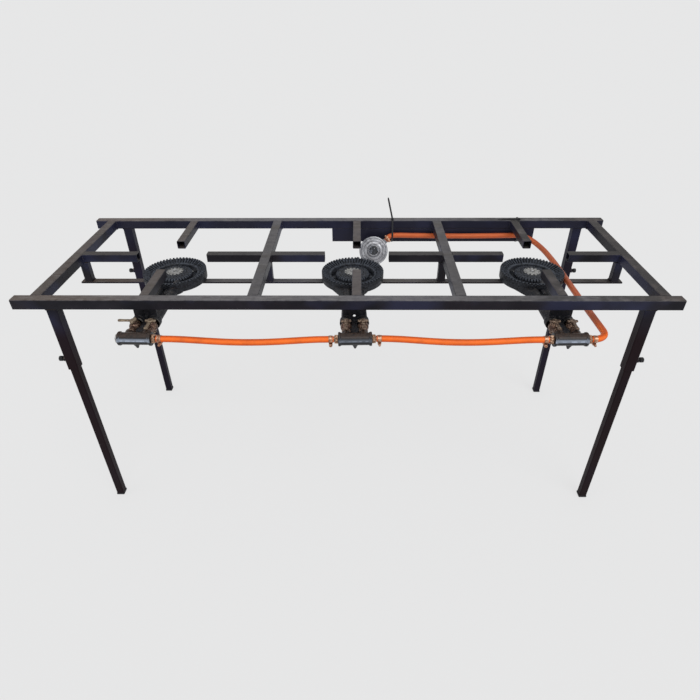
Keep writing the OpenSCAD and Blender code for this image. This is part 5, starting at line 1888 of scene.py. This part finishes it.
@dataclass
class FrameWork:
    """The welded frame, its legs and what is tied to it.

    Each leg has a name, its X and Y, and the side that its thumb screw is on.
    """

    layout: Layout
    repeats: Repeats
    legs: tuple[tuple[str, float, float, int], ...] = (
        ("front_left", -663, 12.5, -1), ("front_right", 680, 12.5, 1),
        ("rear_left", -663, 492.5, -1), ("rear_right", 680, 492.5, 1))
    screw_z: float = -168.0
    screw_out: float = 10.3
    thread_pitch: float = 1.25
    flutes: int = 14
    stub_x: tuple[float, ...] = (-456, 26, 489)
    hanger_x: tuple[float, ...] = (-694, -208, 251, 710)
    hanger_half: float = 10.0
    strip_weld_x: tuple[float, ...] = (-30, 110, 250, 390, 530)
    weld_out: float = 0.1
    weld_top: float = -2.5
    tie_x: tuple[float, ...] = (131.0, 503.0)
    tie_play: float = 0.3
    tie_half: float = 2.4
    tail_ribs: int = 34
    painted: tuple[str, ...] = (
        "front_rail", "rear_rail", "side_member_left", "side_member_right", "cross_member_left",
        "cross_member_right", "side_support_stubs", "end_support_stubs", "carrier_hangers",
        "burner_carrier", "leg_sockets", "socket_nuts", "hose_strip", "leg_front_left",
        "leg_front_right", "leg_rear_left", "leg_rear_right")

    def butt(self, middle: float, face: float, size: float, low: float, turned: bool = False) -> list[Seam]:
        """Seams where a tube's end meets a face: one up each side and one below.

        Args:
            middle: Middle of the tube, along the face.
            face: Where the face is.
            size: Width of the tube.
            low: Lower end of the upright seams.
            turned: The face looks along X instead of Y.

        Returns:
            Both ends of each seam, in the working frame.
        """
        edge, under = size / 2 + self.weld_out, size / 2 - 0.5
        below = -size - self.weld_out
        ends = (((-edge, self.weld_top), (-edge, low)), ((edge, self.weld_top), (edge, low)),
                ((-under, below), (under, below)))
        return [tuple(Vector((face, middle + t, z) if turned else (middle + t, face, z)) for t, z in pair)
                for pair in ends]

    def seams(self) -> list[Seam]:
        """Lines that the welds follow.

        Returns:
            Both ends of each seam, in the working frame.
        """
        lay, lines = self.layout, []
        half = lay.tube / 2
        for y in (lay.tube, lay.rear_face):
            for x in lay.members:
                lines += self.butt(x, y, lay.tube, -24)
            for x in self.stub_x:
                lines += self.butt(x, y, lay.stub, -21.5)
        faces = [x + hand * half for x in lay.members for hand in (-1, 1)]
        for x in faces[1:-1]:
            lines += self.butt(lay.burner_y, x, lay.stub, -21.5, turned=True)
        flat, middle, edge_out = [], lay.burner_y, self.hanger_half + self.weld_out
        for x in self.hanger_x:
            for z in (-25.3, -79.8):
                flat += [((x - 9.5, y, z), (x + 9.5, y, z)) for y in (middle - edge_out, middle + edge_out)]
            flat += [((edge, middle - 9, -25.3), (edge, middle + 9, -25.3))
                     for edge in (x - edge_out, x + edge_out)]
        for _, x, y, _ in self.legs:
            flat += [((edge, y - 11, -25.2), (edge, y + 11, -25.2))
                     for edge in (x - half - self.weld_out, x + half + self.weld_out)]
        strip_y = lay.rear_face + 5.3
        flat += [((x - 10, strip_y, -25.3), (x + 10, strip_y, -25.3)) for x in self.strip_weld_x]
        return lines + [(Vector(a), Vector(b)) for a, b in flat]

    def welds(self) -> None:
        """Lays the weld beads."""
        wires = Shape()
        for a, b in self.seams():
            wires.bm.edges.new(wires.ring([a, b]))
        mesh = bpy.data.meshes.new("seams")
        wires.bm.to_mesh(mesh)
        wires.bm.free()
        beads = self.repeats.run(self.repeats.bead, mesh, PAINT, ripple_radius=1.9, flatness=0.62,
                                 spacing=1.7, unevenness=0.22, seed=7)
        dress(beads, "weld_beads", PAINT, self.layout.at(0, 0, 0))

    def feet(self) -> None:
        """Plastic plugs in the leg ends."""
        for name, x, y, _ in self.legs:
            shape = Shape()
            shape.block((-10.8, -10.8, 0), (10.8, 10.8, 6), bevel=1.4)
            shape.block((-7.6, -7.6, 5), (7.6, 7.6, 23), bevel=0.6)
            piece = "foot_" + name + "_plug"
            dress(shape.mesh(piece, 30.0), piece, PLASTIC,
                  self.layout.at(x, y, -self.layout.table_height), "leg_" + name, ["foot_" + name])

    def thumb_screws(self) -> None:
        """Fluted knobs on threaded shanks."""
        for name, x, y, side in self.legs:
            shape = Shape()
            thread = [(0, 0), (3.4, 0)]
            for k in range(9):
                step = k * self.thread_pitch
                thread += [(3.95, 0.5 + step), (3.45, 1.1 + step)]
            shape.lathe(thread + [(3.6, 12.2), (0, 12.2)], 24)
            shape.lathe([(0, 11.6), (4.6, 11.6), (5.6, 12.4), (5.7, 13.2), (5.7, 20), (4.9, 21.2),
                         (3.4, 21.7), (3.1, 21.1), (0, 21.1)], 36)
            flute = Shape().lathe([(0, 12.4), (1, 12.6), (1.25, 13.4), (1.25, 19.6), (0.9, 20.6),
                                   (0, 20.8)], 10, shift(5.25, 0, 0))
            shape.absorb(self.repeats.around(flute.mesh("flute"), PLASTIC, self.flutes))
            place = (self.layout.at(x, y, self.screw_z) @ turn(90 * side, "Y")
                     @ shift(0, 0, self.screw_out))
            dress(shape.mesh("knob_" + name, 30.0), "knob_" + name, PLASTIC, place,
                  "thumb_screw_" + name, ["thumb_screw_" + name])

    def tie_band(self, shape: Shape, x: float) -> None:
        """Adds the strap that goes round rail, strip and hose.

        Args:
            shape: Shape to add to.
            x: Its place along the rail.
        """
        lay, play, w = self.layout, self.tie_play, self.tie_half
        face, back = lay.rear_face, lay.table_depth
        front = face - 0.5 - lay.hose_d - play
        points = self.rounded([
            (back + play, play), (face - play, play), (front, -38), (front, -48),
            (face - play, -65 - play), (face + 5 + play, -65 - play), (back + play, -25 - play)])
        middle = Vector((sum(p[0] for p in points), sum(p[1] for p in points))) / len(points)
        rings = []
        for k, (y, z) in enumerate(points):
            ahead = Vector(points[(k + 1) % len(points)]) - Vector(points[k - 1])
            out = Vector((ahead.y, -ahead.x)).normalized()
            if out.dot(Vector((y, z)) - middle) < 0:
                out = -out
            rings.append([(x + dx, y + out.x * t, z + out.y * t) for dx, t in (
                (-w, 0.1), (0.3 - w, 0), (w - 0.3, 0), (w, 0.1), (w, 1.1), (w - 0.3, 1.25),
                (0.3 - w, 1.25), (-w, 1.1))])
        shape.loft(rings, closed=True)

    def tie_tail(self, shape: Shape, place: Matrix, length: float) -> None:
        """Adds a free end that tapers to a tip, with its ribs.

        Args:
            shape: Shape to add to.
            place: Its start, with Z along it.
            length: How far it sticks out.
        """
        w = self.tie_half
        stations = [(0, w, 0), (length * 0.35, w, 0.5), (length * 0.7, w, 1),
                    (length - 6, w - 0.1, 0.8), (length - 1, 1.5, 0.6), (length, 0.8, 0.5)]
        shape.loft([[(-w, b - 0.6, h), (w, b - 0.6, h), (w, b + 0.6, h), (-w, b + 0.6, h)]
                    for h, w, b in stations], place)
        rib = Shape().block((-1.7, -0.85, 3), (1.7, -0.3, 3.5))
        row = self.repeats.run(self.repeats.row, rib.mesh("rib"), PLASTIC, count=self.tail_ribs,
                               step=(0.0, 0.018, 1.35))
        shape.absorb(row, place)

    def ties(self) -> None:
        """Two cable ties with their heads on the rail; one tail lies along it, one stands up."""
        face, shape = self.layout.rear_face, Shape()
        left, right = self.tie_x
        tails = ((shift(left - 0.6, face + 4.4, 5.0) @ turn(-13, "Y"), 64.0),
                 (shift(right - 2, face + 4.6, 2.4) @ turn(-90, "Y") @ turn(90, "Z"), 60.0))
        for x, (place, length) in zip(self.tie_x, tails):
            self.tie_band(shape, x)
            shape.block((x - 3.5, face + 0.8, 0.6), (x + 3.5, face + 7.2, 6), bevel=0.8)
            self.tie_tail(shape, place, length)
        dress(shape.mesh("hose_ties", 40.0), "hose_ties", PLASTIC, self.layout.at(0, 0, 0),
              nodes=["cable_ties"])

    def rounded(self, loop: Sequence[Pair], radius: float = 2.5) -> list[Pair]:
        """Rounds the corners of a closed outline.

        Args:
            loop: Corners in order.
            radius: How far from a corner its curve begins.

        Returns:
            Points of the rounded outline.
        """
        made = []
        for k, here in enumerate(loop):
            spot = Vector(here)
            before = (Vector(loop[k - 1]) - spot).normalized() * radius
            after = (Vector(loop[(k + 1) % len(loop)]) - spot).normalized() * radius
            for t in (0.0, 0.25, 0.5, 0.75, 1.0):
                made.append(tuple(spot + before * (1 - t) ** 2 + after * t**2))
        return made

    def paint(self, node: str) -> Paint:
        """Paint of one tube.

        Args:
            node: Name of its plain solid.

        Returns:
            The paint, which differs in how much painted shade its tops get, in the colour of its top film
            and in how brown it is.
        """
        finishes = {"end_support": STUB_SHADED_PAINT, "side_support": ARM_SHADED_PAINT, "leg_": LEG_PAINT}
        for start, finish in finishes.items():
            if node.startswith(start):
                return finish
        return BAR_SHADED_PAINT if "_member_" in node else PAINT

    def build(self) -> None:
        """Paints the tubes and adds welds, feet, knobs and ties."""
        for node in self.painted:
            coat(frame["nodes"][node].data, self.paint(node))
        coat(frame["nodes"]["regulator_diaphragm"].data, GASKET)
        coat(frame["nodes"]["regulator_spring"].data, ZINC)
        self.welds()
        self.feet()
        self.thumb_screws()
        self.ties()


# ---- Studio ----


@dataclass(frozen=True)
class Studio:
    """Camera, light and floor.

    The eye is in the working frame, in millimetres, and the angles are in degrees.
    """

    layout: Layout
    focal_mm: float = 27.257
    sensor_mm: float = 36.0
    eye: Triple = (27.8, -1025.4, 576.1)
    yaw: float = -0.955
    pitch: float = 34.652
    roll: float = -0.405
    backdrop: float = 0.791
    sky: Colour = (0.66, 0.67, 0.69)
    floor_grey: float = 0.8
    floor_glow: float = 0.85
    floor_reach: float = 120.0

    def camera(self) -> None:
        """Places the camera."""
        data = bpy.data.cameras.new("camera")
        data.lens, data.sensor_width = self.focal_mm, self.sensor_mm
        data.clip_start, data.clip_end = 0.02, 300.0
        made = bpy.data.objects.new("camera", data)
        eye = self.layout.at(*self.eye).translation
        made.matrix_world = (shift(*eye) @ turn(-self.yaw, "Z") @ turn(90 - self.pitch, "X")
                             @ turn(self.roll, "Z"))
        bpy.context.scene.collection.objects.link(made)
        bpy.context.scene.camera = made

    def lamp(self, name: str, strength: float, spread: float, tilt: float, heading: float) -> None:
        """Adds a broad, far lamp.

        Args:
            name: Name of the lamp.
            strength: Light on a face that looks straight at it.
            spread: Apparent size in degrees, which softens the shadow.
            tilt: Degrees down from overhead.
            heading: Degrees round from the front, clockwise from above.
        """
        data = bpy.data.lights.new(name, "SUN")
        data.energy, data.angle = strength, radians(spread)
        made = bpy.data.objects.new(name, data)
        made.matrix_world = turn(heading, "Z") @ turn(tilt, "X")
        bpy.context.scene.collection.objects.link(made)

    def pale(self) -> tuple[float, ...]:
        """Colour of the backdrop and of the lit floor."""
        return self.backdrop, self.backdrop, self.backdrop, 1

    def world(self) -> None:
        """Even sky: pale for the camera and for reflections, soft as a light."""
        made = bpy.data.worlds.new("studio")
        made.use_nodes = True
        bpy.context.scene.world = made
        graph = Graph(made.node_tree)
        path = graph.add("ShaderNodeLightPath")
        seen = (graph.num(path, "Is Camera Ray") + graph.num(path, "Is Glossy Ray")
                + graph.num(path, "Is Transmission Ray"))
        colour = graph.add("ShaderNodeMix", {"data_type": "RGBA"}, {
            0: seen.ramp(0.0, 1.0), 6: (*self.sky, 1), 7: self.pale()})
        sky = graph.add("ShaderNodeBackground", None, {"Color": colour.outputs[2], "Strength": 1.0})
        graph.add("ShaderNodeOutputWorld", None, {0: sky.outputs[0]})

    def floor(self) -> None:
        """Pale floor that keeps a soft shadow."""
        mesh = bpy.data.meshes.new("floor")
        r, grey = self.floor_reach, self.floor_grey
        mesh.from_pydata([(-r, -r, 0), (r, -r, 0), (r, r, 0), (-r, r, 0)], [], [(0, 1, 2, 3)])
        made = bpy.data.materials.new("floor")
        made.use_nodes = True
        graph = Graph(made.node_tree)
        path = graph.add("ShaderNodeLightPath")
        matt = graph.add("ShaderNodeBsdfDiffuse", None, {"Color": (grey, grey, grey, 1)})
        glow = graph.add("ShaderNodeEmission", None, {"Color": self.pale(), "Strength": 1.0})
        share = graph.num(path, "Is Camera Ray") * self.floor_glow
        mixed = graph.add("ShaderNodeMixShader", None, {0: share, 1: matt.outputs[0], 2: glow.outputs[0]})
        graph.add("ShaderNodeOutputMaterial", None, {0: mixed.outputs[0]})
        mesh.materials.append(made)
        show(mesh, "floor")

    def build(self) -> None:
        """Sets the camera, the sky and the lamps."""
        bpy.context.scene.view_settings.view_transform = "Standard"
        self.camera()
        self.world()
        self.lamp("key", strength=1.1, spread=40.0, tilt=38.0, heading=28.0)
        self.lamp("fill", strength=0.45, spread=60.0, tilt=52.0, heading=-70.0)


# ---- Assembly ----


def main() -> None:
    """Builds the studio and every sub-assembly in order."""
    logging.basicConfig(level=logging.INFO, format="%(name)s: %(message)s")
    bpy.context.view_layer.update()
    layout = Layout()
    studio = Studio(layout)
    studio.build()
    GasHoses(layout).build()
    repeats = Repeats()
    for assembly in (FrameWork(layout, repeats), RingBurner(layout, repeats), TapSet(layout),
                     HoseEnds(layout), Regulator(layout, repeats)):
        LOG.info("building %s", type(assembly).__name__)
        assembly.build()
    studio.floor()


if __name__ == "__main__":
    main()
